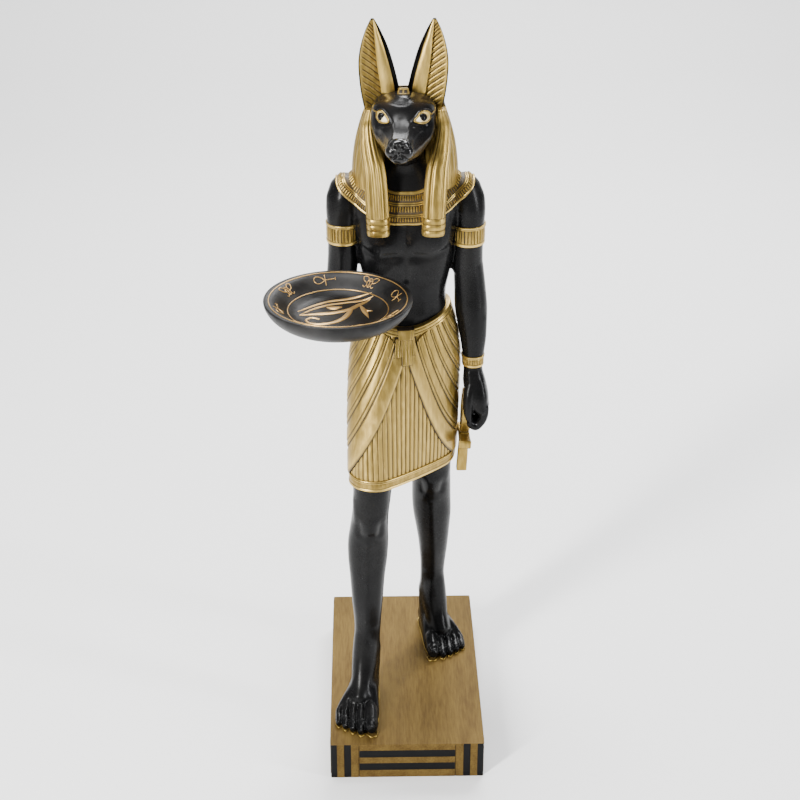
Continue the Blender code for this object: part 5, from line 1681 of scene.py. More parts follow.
@dataclass
class Wig:
    """The gold wig: hood, back panel and the two lappets, all in smooth locks."""

    hood_rows: Table = (
        (785, 24, 12, 1, 4), (781, 35, 25, 2, 10), (774, 42, 33, 3, 14), (764, 45.5, 39, 7, 16),
        (756, 48.5, 42, 24, 17), (745, 52, 45, 34, 18), (725, 57, 48, 43, 18), (706, 59.8, 50, 48, 18),
        (690, 61, 50.5, 51, 18), (676, 60.5, 50.5, 52, 18),
    )
    lappet_rows: Table = (
        (764, 40, -7, 4, 6, 8), (752, 42.5, -13, 7.5, 13, 10), (738, 42, -19, 9, 13.5, 11),
        (722, 39.4, -27, 11, 13.5, 12), (706, 36, -33, 12.2, 13.5, 13), (684, 34, -38.5, 13, 13.2, 13),
        (660, 32.6, -43, 13, 12.5, 13), (640, 31.6, -45, 12.8, 12, 13),
        (627.6, 31.2, -45.5, 12.6, 11.5, 13),
    )
    back_rows: Table = (
        (716, 0, 20, 42, 16, 22, 2.2), (696, 0, 20, 52, 16, 29, 2.3), (674, 0, 21, 53, 16, 30, 2.5),
        (645, 0, 23, 47, 16, 28, 2.8), (622, 0, 24, 41, 16, 24, 3.0),
    )
    cuff: tuple[float, float] = (627.6, 649.5)
    lock_depth: float = 1.6
    seed: int = 11

    def locks(self, place: np.ndarray, count: int, seed: int) -> tuple[np.ndarray, np.ndarray]:
        """Smooth locks side by side, each with fainter strands.

        Args:
            place: Place across all the locks, 0 to 1.
            count: How many locks.
            seed: What makes their widths differ.

        Returns:
            The height between 0 and 1 and how deep in a groove each place lies.
        """
        rng = np.random.default_rng(seed)
        edges = np.concatenate([[0.0], np.cumsum(rng.uniform(0.75, 1.3, count))])
        edges /= edges[-1]
        strength = rng.uniform(0.25, 1.0, count + 1)
        i = np.clip(np.searchsorted(edges, place, side="right") - 1, 0, count - 1)
        t = (place - edges[i]) / (edges[i + 1] - edges[i])
        near = np.minimum(t, 1 - t)
        deep = np.where(t < 0.5, strength[i], strength[i + 1])
        height = 1 - (1 - np.clip(near / 0.32, 0, 1)) ** 2.4 * (0.35 + 0.65 * deep)
        height += 0.10 * np.cos(2 * np.pi * t * rng.integers(2, 4, count)[i])
        groove = np.exp(-((near / 0.055) ** 2)) * deep
        return height, groove

    def hood(self) -> Form:
        """The hood, open at the face."""
        columns, inner_count = 420, 25
        levels = np.concatenate([np.linspace(785, 770, 16), np.linspace(768.5, 676, 44)])
        share = np.linspace(0, 1, columns)
        turn = np.radians(-46 + 272 * share)
        rings, grooves, crests = [], [], []
        height, groove = self.locks(share, 30, self.seed)
        for z, width, back, front, opening in smooth_rows(self.hood_rows, levels):
            fade = min(1.0, width / 45)
            drop = (1 - height) * self.lock_depth * fade
            depth = np.where(np.sin(turn) > 0, back, front)
            behind = -70.0 + 76.0 * smoothstep(np.array((z - 748.0) / 14.0))
            y = np.maximum((depth - drop) * np.sin(turn), behind)
            outer = np.column_stack([(width - drop) * np.cos(turn), y])
            back_turn = np.radians(np.linspace(180, 0, inner_count))
            middle = 6.2 + 4 * np.sin(back_turn) if z > 748 else 4 * np.sin(back_turn)
            inner = np.column_stack([opening * np.cos(back_turn), middle])
            rings.append(at_height(np.concatenate([outer, inner]), z))
            grooves.append(np.concatenate([groove * fade, np.zeros(inner_count)]))
            # A painted highlight on the highest part of each lock.
            crests.append(np.concatenate([np.clip(height - 0.8, 0, 1), np.zeros(inner_count)]))
        return loft("wig_hood", rings).marked(groove=grooves, crest=crests)

    def lappet(self, side: Side) -> Form:
        """One lappet, ending in a cuff of three bands."""
        s, columns = side.value, 200
        low, high = self.cuff
        levels = np.concatenate([np.linspace(764, high + 0.6, 66), [high + 0.3, high, high - 0.3]])
        bands = []
        for k in range(3):
            top = high - 0.4 - (high - low - 0.8) * k / 3
            bottom = high - 0.4 - (high - low - 0.8) * (k + 1) / 3
            bands += [(top, -0.1, 1.0), (top - 0.5, 0.5, 0.0)]
            bands += [((top + bottom) / 2, 0.6, 0.0), (bottom + 0.5, 0.5, 0.0)]
        bands += [(low + 0.2, 0.3, 0.6), (low, 0.0, 0.3)]
        turn = 2 * np.pi * np.arange(columns) / columns
        # The locks run over the front of the lappet; its back lies on the chest.
        front = np.clip((np.mod(turn - np.pi * 0.97, 2 * np.pi)) / (np.pi * 1.06), 0, 1)
        height, groove = self.locks(np.clip(front, 0.0005, 0.9995), 6, self.seed + 5 + s)
        rings, grooves, crests = [], [], []
        for z, x, y, width, ahead, behind in smooth_rows(self.lappet_rows, levels):
            ring = oval(width, ahead, behind, 2.6, columns)
            drop = (1 - height) * self.lock_depth * min(1, width / 10)
            away = ring / np.maximum(np.linalg.norm(ring, axis=1, keepdims=True), 1e-6)
            rings.append(at_height(ring - away * drop[:, None] + (s * x, y), z))
            grooves.append(groove)
            # A painted highlight on the highest part of each lock.
            crests.append(0.45 * np.clip(height - 0.75, 0, 1) * 3)
        for z, out, dark in bands:
            _, x, y, width, ahead, behind = smooth_rows(self.lappet_rows, [z])[0]
            ring = oval(width + out, ahead + out, behind - 1, 2.6, columns)
            rings.append(at_height(ring + (s * x, y), z))
            grooves.append(np.full(columns, dark))
            # A painted highlight on the bands that stand out furthest.
            crests.append(np.full(columns, 0.4 * (out > 0.55)))
        return loft(f"{side.name.lower()}_lappet", rings).marked(groove=grooves, crest=crests)

    def back(self) -> Form:
        """The panel of locks that hangs behind."""
        columns = 320
        turn = 2 * np.pi * np.arange(columns) / columns
        height, groove = self.locks(np.clip(turn / np.pi, 0.0005, 0.9995), 17, self.seed + 20)
        behind = np.clip(np.sin(turn) * 6, 0, 1)
        rings, grooves, crests = [], [], []
        for z, cx, cy, width, ahead, back, square in evenly(self.back_rows, 36):
            ring = oval(width, ahead, back, square, columns)
            lip = 1.0 if z > 625.5 else 0.6
            ring = ring * (1 - 0.028 * (1 - height) * behind * lip)[:, None]
            rings.append(at_height(ring + (cx, cy), z))
            grooves.append(groove * behind)
            # A painted highlight on the highest part of each lock, behind.
            crests.append(0.4 * np.clip(height - 0.75, 0, 1) * 3 * behind)
        return loft("wig_back", rings).marked(groove=grooves, crest=crests)

    def build(self, shop: Workshop) -> None:
        """Makes and publishes the wig."""
        shop.publish(self.hood(), Paint.GOLD, Node.FIGURE, 50)
        for side in Side:
            shop.publish(self.lappet(side), Paint.GOLD, Node.FIGURE, 50)
        shop.publish(self.back(), Paint.GOLD, Node.FIGURE, 50)


# The dress.


@dataclass
class Collar:
    """The broad collar: three rows of beads between double lines, and an outer rim with a painted highlight.
    """

    outline: Table = (
        (-22, -26, -57, 635), (0, 0, -60, 633), (22, 26, -57, 635), (45, 57, -41, 651),
        (68, 74, -24, 667), (90, 79, 0, 679),
        (112, 74, 24, 669), (135, 58, 42, 656), (158, 30, 54, 642), (180, 0, 58, 638),
    )
    # The upper edge in the same form, which shows only in front, between the lappets.
    neckline: Table = (
        (-22, -17, -37, 675), (0, 0, -39, 674), (22, 17, -37, 675), (45, 34, -27, 682),
        (90, 49, 0, 692), (135, 38, 26, 686), (180, 0, 36, 674),
    )
    # Share from neck to rim, lift, groove and painted highlight.
    profile: Table = (
        (0.0, 0.6, 0.3, 0), (0.02, 1.7, 0.1, 0.3), (0.09, 1.7, 0.1, 0.2), (0.105, 1.0, 0.9, 0),
        (0.315, 1.0, 0.9, 0), (0.325, 1.8, 0, 0.3), (0.355, 1.8, 0, 0.3), (0.362, 1.1, 1, 0),
        (0.374, 1.1, 1, 0), (0.381, 1.8, 0, 0.3), (0.412, 1.8, 0, 0.3), (0.422, 1.0, 0.9, 0),
        (0.665, 1.0, 0.9, 0), (0.675, 1.8, 0, 0.3), (0.70, 1.8, 0, 0.3), (0.707, 1.1, 1, 0),
        (0.719, 1.1, 1, 0), (0.726, 1.8, 0, 0.3), (0.75, 1.8, 0, 0.3), (0.758, 1.0, 0.9, 0),
        (0.925, 1.0, 0.9, 0), (0.935, 1.9, 0.1, 0.4), (0.96, 2.3, 0, 1.0), (0.99, 2.1, 0, 1.0),
        (1.0, 1.2, 0, 0.6),
    )
    bead_rows: Table = ((0.115, 0.31, 1.55, 2.75), (0.43, 0.66, 1.75, 3.1), (0.765, 0.92, 1.7, 3.0))

    def lay(self, ground: Ground, columns: int) -> tuple[np.ndarray, np.ndarray, np.ndarray]:
        """Finds the collar's places on the body.

        Args:
            ground: The skin that it lies on.
            columns: How many places round the neck.

        Returns:
            The shares, the places on the skin, shares by columns, and their outward directions.
        """
        shares = np.linspace(0, 1, 13)
        places, aways = np.zeros((2, len(shares), columns, 3))
        for k in range(columns):
            turn = 360 * k / columns
            folded, side = min(turn, 360 - turn), 1 if turn <= 180 else -1
            _, ox, oy, oz = smooth_rows(self.outline, [folded])[0]
            edge = np.array([side * ox, oy, oz])
            _, nx, ny, nz = smooth_rows(self.neckline, [folded])[0]
            neck = np.array([side * nx, ny, nz])
            for i, share in enumerate(shares):
                aim = neck + (edge - neck) * share
                inside = np.array([aim[0] * 0.55, aim[1] * 0.35 + 1, 640 + 30 * (1 - share)])
                away = (aim - inside) / np.linalg.norm(aim - inside)
                hit = ground.hit(aim + away * 60, -away, 110)
                places[i, k] = aim if hit is None else hit
                aways[i, k] = away
        smooth = places.copy()
        for _ in range(3):
            smooth[1:-1] = smooth[1:-1] * 0.5 + 0.25 * (smooth[:-2] + smooth[2:])
            smooth = smooth * 0.5 + 0.25 * (np.roll(smooth, 1, 1) + np.roll(smooth, -1, 1))
        above = np.maximum(((smooth - places) * aways).sum(axis=-1, keepdims=True), 0.0)
        return shares, places + aways * above, aways

    @staticmethod
    def read(shares: np.ndarray, grid: np.ndarray, share: np.ndarray, turn: np.ndarray) -> np.ndarray:
        """Values of a laid grid at any share and turn (0 to 1)."""
        columns = grid.shape[1]
        i = np.clip((share * (len(shares) - 1)).astype(int), 0, len(shares) - 2)
        t = (share * (len(shares) - 1) - i)[..., None]
        c = (turn % 1.0) * columns
        j = c.astype(int) % columns
        u = (c - np.floor(c))[..., None]
        k = (j + 1) % columns
        near = grid[i, j] * (1 - u) + grid[i, k] * u
        far = grid[i + 1, j] * (1 - u) + grid[i + 1, k] * u
        return near * (1 - t) + far * t

    def build(self, shop: Workshop, bars: BarMaker, ground: Ground) -> None:
        """Makes and publishes the collar with its beads."""
        shares, places, aways = self.lay(ground, 180)
        profile = np.array(self.profile)
        rows = np.unique(np.concatenate([profile[:, 0], np.linspace(0, 1, 29)]))
        columns = 270
        share = rows[:, None] + np.zeros((1, columns))
        turn = np.arange(columns)[None, :] / columns + np.zeros((len(rows), 1))
        base, away = self.read(shares, places, share, turn), self.read(shares, aways, share, turn)
        # The last column of the profile is a painted highlight on the raised lines and the rim.
        lift, groove, crest = (np.interp(rows, profile[:, 0], profile[:, i])[:, None] for i in (1, 2, 3))
        outer, inner = base + away * lift[..., None], base - away * 4.0
        form = sheet("collar", outer, inner, True, {"groove": groove, "crest": crest})
        shop.publish(form, Paint.GOLD, Node.FIGURE, 30)
        beads = []
        for low, high, width, pitch in self.bead_rows:
            middle = (low + high) / 2
            ring = self.read(shares, places, np.full(720, middle), np.arange(720) / 720)
            steps = np.linalg.norm(np.roll(ring, -1, 0) - ring, axis=1)
            distance = np.concatenate([[0.0], np.cumsum(steps)])
            count = int(distance[-1] / pitch)
            t = np.interp(np.arange(count) / count * distance[-1], distance, np.arange(721) / 720)
            start = self.read(shares, places, np.full(count, low), t)
            end = self.read(shares, places, np.full(count, high), t)
            way = self.read(shares, aways, np.full(count, middle), t)
            spot = self.read(shares, places, np.full(count, middle), t) + way
            length = np.linalg.norm(end - start, axis=1) * 0.94
            size = np.column_stack([np.full(count, width), length, np.full(count, 1.05)])
            beads.append((spot, way, end - start, size))
        bars.bars("collar_beads", *map(np.concatenate, zip(*beads)), Paint.GOLD, Node.FIGURE)


@dataclass
class ArmBand:
    """A band round an arm: two rounded rims and a row of upright bars between them."""

    name: str
    rows: Table
    span: tuple[float, float]
    lift: float
    rim: float
    bar: float
    pitch: float

    def build(self, shop: Workshop, bars: BarMaker) -> None:
        """Makes and publishes the band."""
        low, high = self.span
        tall, r = high - low, self.rim
        # Rows of height, outward lift, groove, and a painted highlight on the rounded rims.
        profile = [
            (low, -1.5, 0, 0), (low + 0.05, 0.3, 0.4, 0), (low + 0.5, 0.85, 0, 0.5),
            (low + r * 0.45, 1.05, 0, 1.0), (low + r * 0.8, 0.95, 0, 0.6), (low + r, 0.25, 1.0, 0),
            (low + r + 0.2, 0.22, 1.0, 0), (low + tall / 2, 0.25, 0.85, 0), (high - r - 0.2, 0.22, 1.0, 0),
            (high - r, 0.25, 1.0, 0), (high - r * 0.8, 0.95, 0, 0.6), (high - r * 0.62, 1.0, 0, 0.6),
            (high - r * 0.55, 0.75, 0.9, 0), (high - r * 0.47, 1.0, 0, 0.6),
            (high - r * 0.2, 1.05, 0, 1.0), (high - 0.3, 0.8, 0, 0.5), (high - 0.02, 0.3, 0.4, 0),
            (high, -1.5, 0, 0),
        ]
        rings, grooves, crests = [], [], []
        for z, out, dark, bright in profile:
            _, cx, cy, width, ahead, behind, square = smooth_rows(self.rows, [z])[0]
            extra = self.lift * out
            ring = oval(width + extra, ahead + extra, behind + extra, square, 96) + (cx, cy)
            rings.append(at_height(ring, z))
            grooves.append(np.full(96, dark))
            crests.append(np.full(96, bright))
        form = loft(self.name, rings).marked(groove=grooves, crest=crests)
        shop.publish(form, Paint.GOLD, Node.FIGURE, 35)
        middle = (low + high) / 2
        _, cx, cy, width, ahead, behind, square = smooth_rows(self.rows, [middle])[0]
        extra = self.lift * 0.25
        fine = oval(width + extra, ahead + extra, behind + extra, square, 720)
        steps = np.linalg.norm(np.roll(fine, -1, 0) - fine, axis=1)
        distance = np.concatenate([[0], np.cumsum(steps)])
        count = int(distance[-1] / self.pitch)
        index = np.searchsorted(distance, np.arange(count) * distance[-1] / count).clip(0, 719)
        spot = fine[index]
        side = fine[(index + 1) % 720] - fine[index - 1]
        away = np.column_stack([side[:, 1], -side[:, 0], np.zeros(count)])
        places = at_height(spot + (cx, cy), middle)
        upright = np.tile([0.0, 0.0, 1.0], (count, 1))
        size = np.tile([self.bar, tall - 2 * self.rim + 0.3, self.lift * 0.62], (count, 1))
        bars.bars(self.name + "_bars", places, away, upright, size, Paint.GOLD, Node.FIGURE)


@dataclass
class KiltShape:
    """The kilt's outline at every height: a soft hull round both thighs and the hips."""

    rows: Table = (
        (530, -20, -4, 29, 20, 4, 29, 32, 48, 35), (495, -24, -11, 34, 26, 5, 33, 37, 57.2, 40),
        (458, -28, -25, 36.5, 29.5, 8, 35, 42, 60, 44), (411, -33, -40, 34.5, 31, 10, 33.4, 44, 50, 40),
        (371, -36, -52, 32, 33, 10.5, 30.6, 46.5, 30, 30), (315, -38, -67, 29, 33, 13, 28.2, 51, 10, 10),
    )
    low: int = 305
    high: int = 530
    samples: int = 720

    def __post_init__(self) -> None:
        """Draws the outline once for every thousandth of height."""
        self.points, self.away, self.whole = [], [], []
        for z in range(self.low, self.high + 1):
            points, away, distance = self.ring(float(z))
            share = np.linspace(0, 1, self.samples + 1) * distance[-1]
            self.points.append(np.stack([np.interp(share, distance, points[:, i]) for i in (0, 1)], 1))
            self.away.append(np.stack([np.interp(share, distance, away[:, i]) for i in (0, 1)], 1))
            self.whole.append(distance[-1])
        self.points, self.away = np.array(self.points), np.array(self.away)
        self.whole = np.array(self.whole)

    def ring(self, z: float) -> tuple[np.ndarray, np.ndarray, np.ndarray]:
        """Points, outward directions and distances round from the front middle at one height."""
        row = smooth_rows(self.rows, [z])[0]
        turn = np.linspace(0, 2 * np.pi, 721)
        c, s = np.cos(turn), np.sin(turn)
        shapes = ((row[1], row[2], row[3], row[3]), (row[4], row[5], row[6], row[7]), (0, 0, row[8], row[9]))
        reach = [x * c + y * s + np.sqrt((a * c) ** 2 + (b * s) ** 2) for x, y, a, b in shapes]
        support = 3.0 * np.log(sum(np.exp(r / 3.0) for r in reach))
        slope = np.gradient(support, turn, edge_order=2)
        slope[0] = slope[-1] = (support[1] - support[-2]) / (2 * (turn[1] - turn[0]))
        points = np.stack([support * c - slope * s, support * s + slope * c], 1)
        away = np.stack([c, s], 1)
        ahead = np.where((points[:720, 1] < 0) & (points[:720, 0] <= 0) & (points[1:, 0] > 0))[0][0]
        share = points[ahead, 0] / (points[ahead, 0] - points[ahead + 1, 0])
        first = points[ahead] + share * (points[ahead + 1] - points[ahead])
        aim = away[ahead] + share * (away[ahead + 1] - away[ahead])
        order = list(range(ahead + 1, 720)) + list(range(ahead + 1))
        points = np.concatenate([[first], points[order], [first]])
        away = np.concatenate([[aim], away[order], [aim]])
        steps = np.linalg.norm(np.diff(points, axis=0), axis=1)
        return points, away, np.concatenate([[0.0], np.cumsum(steps)])

    def around(self, z: np.ndarray) -> np.ndarray:
        """The distance all the way round at each height."""
        return np.interp(z, np.arange(self.low, self.high + 1), self.whole)

    def point(self, along: np.ndarray, z: np.ndarray, lift: np.ndarray | float = 0.0) -> np.ndarray:
        """Points a distance round from the front middle, at a height, lifted off the outline."""
        along, z = np.broadcast_arrays(np.asarray(along, float), np.asarray(z, float))
        level = np.clip(z - self.low, 0, self.high - self.low - 1e-6)
        i, t = level.astype(int), (level % 1.0)[..., None]
        c = (along / self.around(z)) % 1.0 * self.samples
        j, u = c.astype(int) % self.samples, (c % 1.0)[..., None]

        def read(grid: np.ndarray) -> np.ndarray:
            near = grid[i, j] * (1 - u) + grid[i, j + 1] * u
            far = grid[i + 1, j] * (1 - u) + grid[i + 1, j + 1] * u
            return near * (1 - t) + far * t

        place, away = read(self.points), read(self.away)
        away = away / np.linalg.norm(away, axis=-1, keepdims=True)
        flat = place + np.asarray(lift, float)[..., None] * away
        return np.concatenate([flat, z[..., None]], -1)


@dataclass
class Kilt:
    """The pleated skirt, the folded wrap over it, hem band, belt and knot."""

    shape: KiltShape = field(default_factory=KiltShape)
    hem: float = 319.0
    top_front: float = 507.0
    top_side: float = 527.0
    top_back: float = 513.0
    side_place: float = 76.0
    hem_height: float = 12.0
    pleat_pitch: float = 6.3
    pleat_depth: float = 1.3
    drape_lift: float = 2.7
    # Places of the wrap's grooves from the belt (0) to its front edge (1).
    folds: tuple[float, ...] = (
        0.86, 0.825, 0.735, 0.70, 0.61, 0.58, 0.49, 0.46, 0.375, 0.345, 0.265, 0.235, 0.155, 0.13,
    )

    # Rows of drop below the upper edge, lift, groove and painted highlight.
    belt_rows: Table = (
        (0, 0.6, 0.3, 0), (0.25, 2.4, 0, 0.4), (1.0, 2.9, 0, 0.9), (2.2, 2.8, 0, 0.5), (2.5, 2.2, 1, 0),
        (2.8, 2.2, 1, 0), (3.1, 2.8, 0, 0.5), (4.7, 3.0, 0, 0.7), (6.2, 2.8, 0, 0.4), (6.5, 2.2, 1, 0),
        (6.8, 2.2, 1, 0), (7.1, 2.8, 0, 0.5), (8.4, 2.9, 0, 0.8), (9.2, 2.4, 0, 0.4), (9.5, 0.6, 0.5, 0),
    )
    hem_rows: Table = (
        (0, 0.4, 0.3, 0), (0.3, 1.7, 0, 0.6), (1.4, 1.9, 0, 0.9), (1.7, 1.3, 1, 0), (2.0, 1.3, 1, 0),
        (2.3, 1.9, 0, 0.7), (3.2, 1.9, 0, 0.7), (3.5, 1.3, 0.6, 0), (3.9, 1.4, 0.15, 0),
        (8.8, 1.4, 0.15, 0), (9.2, 1.3, 0.8, 0), (9.5, 1.8, 0, 0.7), (10.4, 2.1, 0, 1.0),
        (12.0, 2.0, 0, 0.9), (12.6, 1.0, 0, 0.5),
    )

    def belt_top(self, along: np.ndarray) -> np.ndarray:
        """The belt's upper edge, low in front, high at the hips and low again behind."""
        rise = np.clip(np.abs(along) / self.side_place, 0, 1)
        dip = np.clip(np.abs(along) / self.side_place - 1.05, 0, 1)
        high = self.top_front + (self.top_side - self.top_front) * rise * rise * (3 - 2 * rise)
        return high - (self.top_side - self.top_back) * dip * dip * (3 - 2 * dip)

    def skirt(self) -> Form:
        """The upright pleats."""
        columns = 760
        z = np.linspace(self.hem, self.top_front - 2, 20)[:, None] + np.zeros((1, columns))
        whole = self.shape.around(z)
        reference = float(self.shape.around(np.array(400.0)))
        share = np.arange(columns)[None, :] / columns
        folded = np.where(share > 0.5, share - 1, share)
        along = folded * (whole * 0.35 + reference * 0.65)
        even = along + (folded * whole - along) * (np.abs(folded) / 0.3) ** 3
        along = np.where(np.abs(folded) > 0.3, folded * whole, even)
        phase = folded * reference / self.pleat_pitch
        near = np.abs((phase + 0.5) % 1.0 - 0.5) * 2
        round_pleat = 1 - np.clip(1 - near, 0, 1) ** 3.2
        groove = np.exp(-((near / 0.17) ** 2))
        round_pleat = np.broadcast_to(round_pleat, z.shape)
        groove = np.broadcast_to(groove, z.shape)
        outer = self.shape.point(along, z, (round_pleat - 1) * self.pleat_depth)
        form = loft("skirt_pleats", list(outer))
        # A painted highlight on the round of each pleat.
        form.marks = {"groove": groove.reshape(-1), "crest": 0.35 * round_pleat.reshape(-1) ** 4}
        return form

    def drape(self) -> Form:
        """The cloth wrapped from the knot round the hips, with folds that fan out from the knot."""
        count = 64
        half = np.linspace(0, 1, count) ** 1.15
        share = np.concatenate([half, half[-2::-1]])[None, :]
        side = np.concatenate([-np.ones(count), np.ones(count - 1)])[None, :]
        fine = [np.linspace(0, 1.012, 54)]
        for f in self.folds:
            fine.append(f + np.array([-0.014, -0.009, -0.0045, 0.0, 0.0045, 0.009, 0.014]))
        fold = np.unique(np.round(np.clip(np.concatenate(fine), 0, 1.012), 5))[:, None]
        start_along = 3.0 + 66.0 * (1 - fold)
        start_z = self.belt_top(start_along) - 8.0 - 30.0 * np.clip(fold, 0, 1) ** 7
        lowest = self.hem + self.hem_height - 2.0
        hip = start_along + (float(self.shape.around(np.array(470.0))) / 2 - start_along) * share
        # Behind the hips the cloth reaches farther up under the belt.
        tucked = smoothstep((share - 0.5) / 0.2)
        end_z = lowest + (self.belt_top(hip) - 8.0 + 4.0 * tucked - lowest) * (1 - fold)
        fall = np.maximum(0.0, 1 - share / 0.42) ** np.where(side > 0, 1.75, 1.4)
        z = end_z + (start_z - end_z) * fall
        along = start_along + (self.shape.around(z) / 2 - start_along) * share
        groove = np.zeros(np.broadcast_shapes(fold.shape, share.shape))
        for k, place in enumerate(self.folds):
            wide = 0.0075 if k % 2 == 0 else 0.006
            weight = 1.0 if k % 2 == 0 else 0.8
            groove = np.maximum(groove, weight * np.exp(-(((fold - place) / wide) ** 2)) + 0 * share)
        # Between the pairs of grooves the cloth swells softly.
        swell = 0.35 * np.sin(np.pi * np.clip(((fold - 0.145) * 8.3) % 1.0, 0, 1))
        edge = smoothstep((fold - 0.93) / 0.05)
        lift = self.drape_lift + swell - 1.25 * groove + 0.5 * edge
        lift = lift - 1.6 * smoothstep((fold - 1.0) / 0.012) - 0.9 * tucked * np.exp(-((fold / 0.012) ** 2))
        outer = self.shape.point(side * along, z, lift)
        inner = self.shape.point(side * along, z, np.full_like(z, -5.0))
        groove = np.maximum(groove, smoothstep((fold - 0.998) / 0.008) + 0 * share)
        # A painted highlight on the raised front edge and on the swells.
        crest = 0.5 * edge * (1 - groove) + 0.3 * swell
        return sheet("kilt_wrap", outer, inner, marks={"groove": groove, "crest": crest + 0 * share})

    def round_band(self, name: str, top: Any, profile: Table, columns: int = 400) -> Form:
        """A band all the way round that follows an upper edge.

        Args:
            name: The form's name.
            top: Gives the band's upper edge at each distance round.
            profile: Rows of drop below the edge, lift, groove and painted highlight.
            columns: How many places round.

        Returns:
            The form with its marks.
        """
        share = np.arange(columns) / columns
        outer, inner, grooves, crests = [], [], [], []
        for drop, lift, groove, crest in profile:
            z = np.full(columns, top(np.zeros(1))[0])
            for _ in range(4):
                whole = self.shape.around(z)
                along = share * whole
                z = top(np.where(along <= whole / 2, along, along - whole)) - drop
            outer.append(self.shape.point(share * self.shape.around(z), z, lift))
            inner.append(self.shape.point(share * self.shape.around(z), z, -7.0))
            grooves.append(groove)
            crests.append(crest)
        marks = {"groove": np.array(grooves)[:, None], "crest": np.array(crests)[:, None]}
        return sheet(name, np.array(outer), np.array(inner), True, marks)

    def patch(self, name: str, spans: tuple[float, float, float, float], top: float, bottom: float,
              lift: float, slits: Sequence[float] = (), bow: float = 0.6) -> Form:
        """A raised flap with slits down its length.

        Args:
            name: The form's name.
            spans: Left and right at the top, then left and right at the bottom.
            top: Its upper edge.
            bottom: Its lower edge.
            lift: How far it stands off the kilt.
            slits: Places across, 0 to 1, of the slits.
            bow: How much its middle stands out more than its edges.

        Returns:
            The form with its marks.
        """
        rows, columns = 26, 60
        v = np.linspace(0, 1, rows)[:, None]
        u = np.linspace(0, 1, columns)[None, :]
        left, right = spans[0] + (spans[2] - spans[0]) * v, spans[1] + (spans[3] - spans[1]) * v
        z = top + (bottom - top) * v + 0 * u
        along = left + (right - left) * u
        groove = np.zeros((rows, columns))
        for place in slits:
            groove = np.maximum(groove, 0.7 * np.exp(-(((u - place) * (right - left) / 0.4) ** 2)))
        rim = np.minimum(np.minimum(u, 1 - u) * (right - left), np.minimum(v, 1 - v) * (top - bottom))
        crown = bow * np.sin(np.pi * u) ** 0.7 - 0.7 * (1 - np.clip(rim / 0.8, 0, 1)) ** 2
        outer = self.shape.point(along, z, lift + crown - 0.9 * groove)
        inner = self.shape.point(along, z, np.full_like(z, -1.0))
        # Painted shadow round the flap's outline.
        groove = np.maximum(groove, 1.0 - np.clip((rim - 0.25) / 0.5, 0, 1))
        # A painted highlight down the middle of the flap.
        crest = 0.35 * (1 - groove) * np.sin(np.pi * u)
        return sheet(name, outer, inner, marks={"groove": groove, "crest": crest})

    def build(self, shop: Workshop, bars: BarMaker) -> None:
        """Makes and publishes the kilt."""
        shop.publish(self.skirt(), Paint.CLOTH, Node.FIGURE, 60)
        shop.publish(self.drape(), Paint.CLOTH, Node.FIGURE, 60)
        shop.publish(self.round_band("belt", self.belt_top, self.belt_rows), Paint.GOLD, Node.FIGURE, 35)
        top = self.hem + self.hem_height

        def level(along: np.ndarray) -> np.ndarray:
            return np.full(np.shape(along), top)

        shop.publish(self.round_band("hem_band", level, self.hem_rows), Paint.GOLD, Node.FIGURE, 35)
        middle = top - 6.35
        whole = float(self.shape.around(np.array(middle)))
        places, ways = [], []
        for group in np.arange(4, whole - 12, 23.0):
            for k in range(4):
                place = group + k * 2.3
                spot = self.shape.point(np.full(2, place), np.full(2, middle), np.array([1.1, 3.1]))
                places.append(spot[0])
                ways.append(spot[1] - spot[0])
        count = len(places)
        upright = np.tile([0.0, 0.0, 1.0], (count, 1))
        size = np.tile([1.5, 4.9, 0.5], (count, 1))
        bars.bars("hem_ticks", np.array(places), np.array(ways), upright, size, Paint.GOLD, Node.FIGURE)
        t = self.top_front
        flaps = (
            ("knot_left", (4.0, 10.0, 5.0, 13.0), t - 9, t - 30, 4.8, (0.5,), 0.6),
            ("knot_right", (-12.0, -4.0, -15.0, -5.0), t - 9, t - 31, 4.8, (0.42, 0.72), 0.6),
            ("knot_end", (-5.6, 5.6, -6.4, 6.0), t - 9, t - 40, 7.2, (0.36, 0.68), 0.6),
            ("belt_knot", (-10.2, 9.2, -9.2, 8.2), t + 2.0, t - 10, 8.6, (0.82,), 1.0),
        )
        for flap in flaps:
            shop.publish(self.patch(*flap), Paint.GOLD, Node.FIGURE)


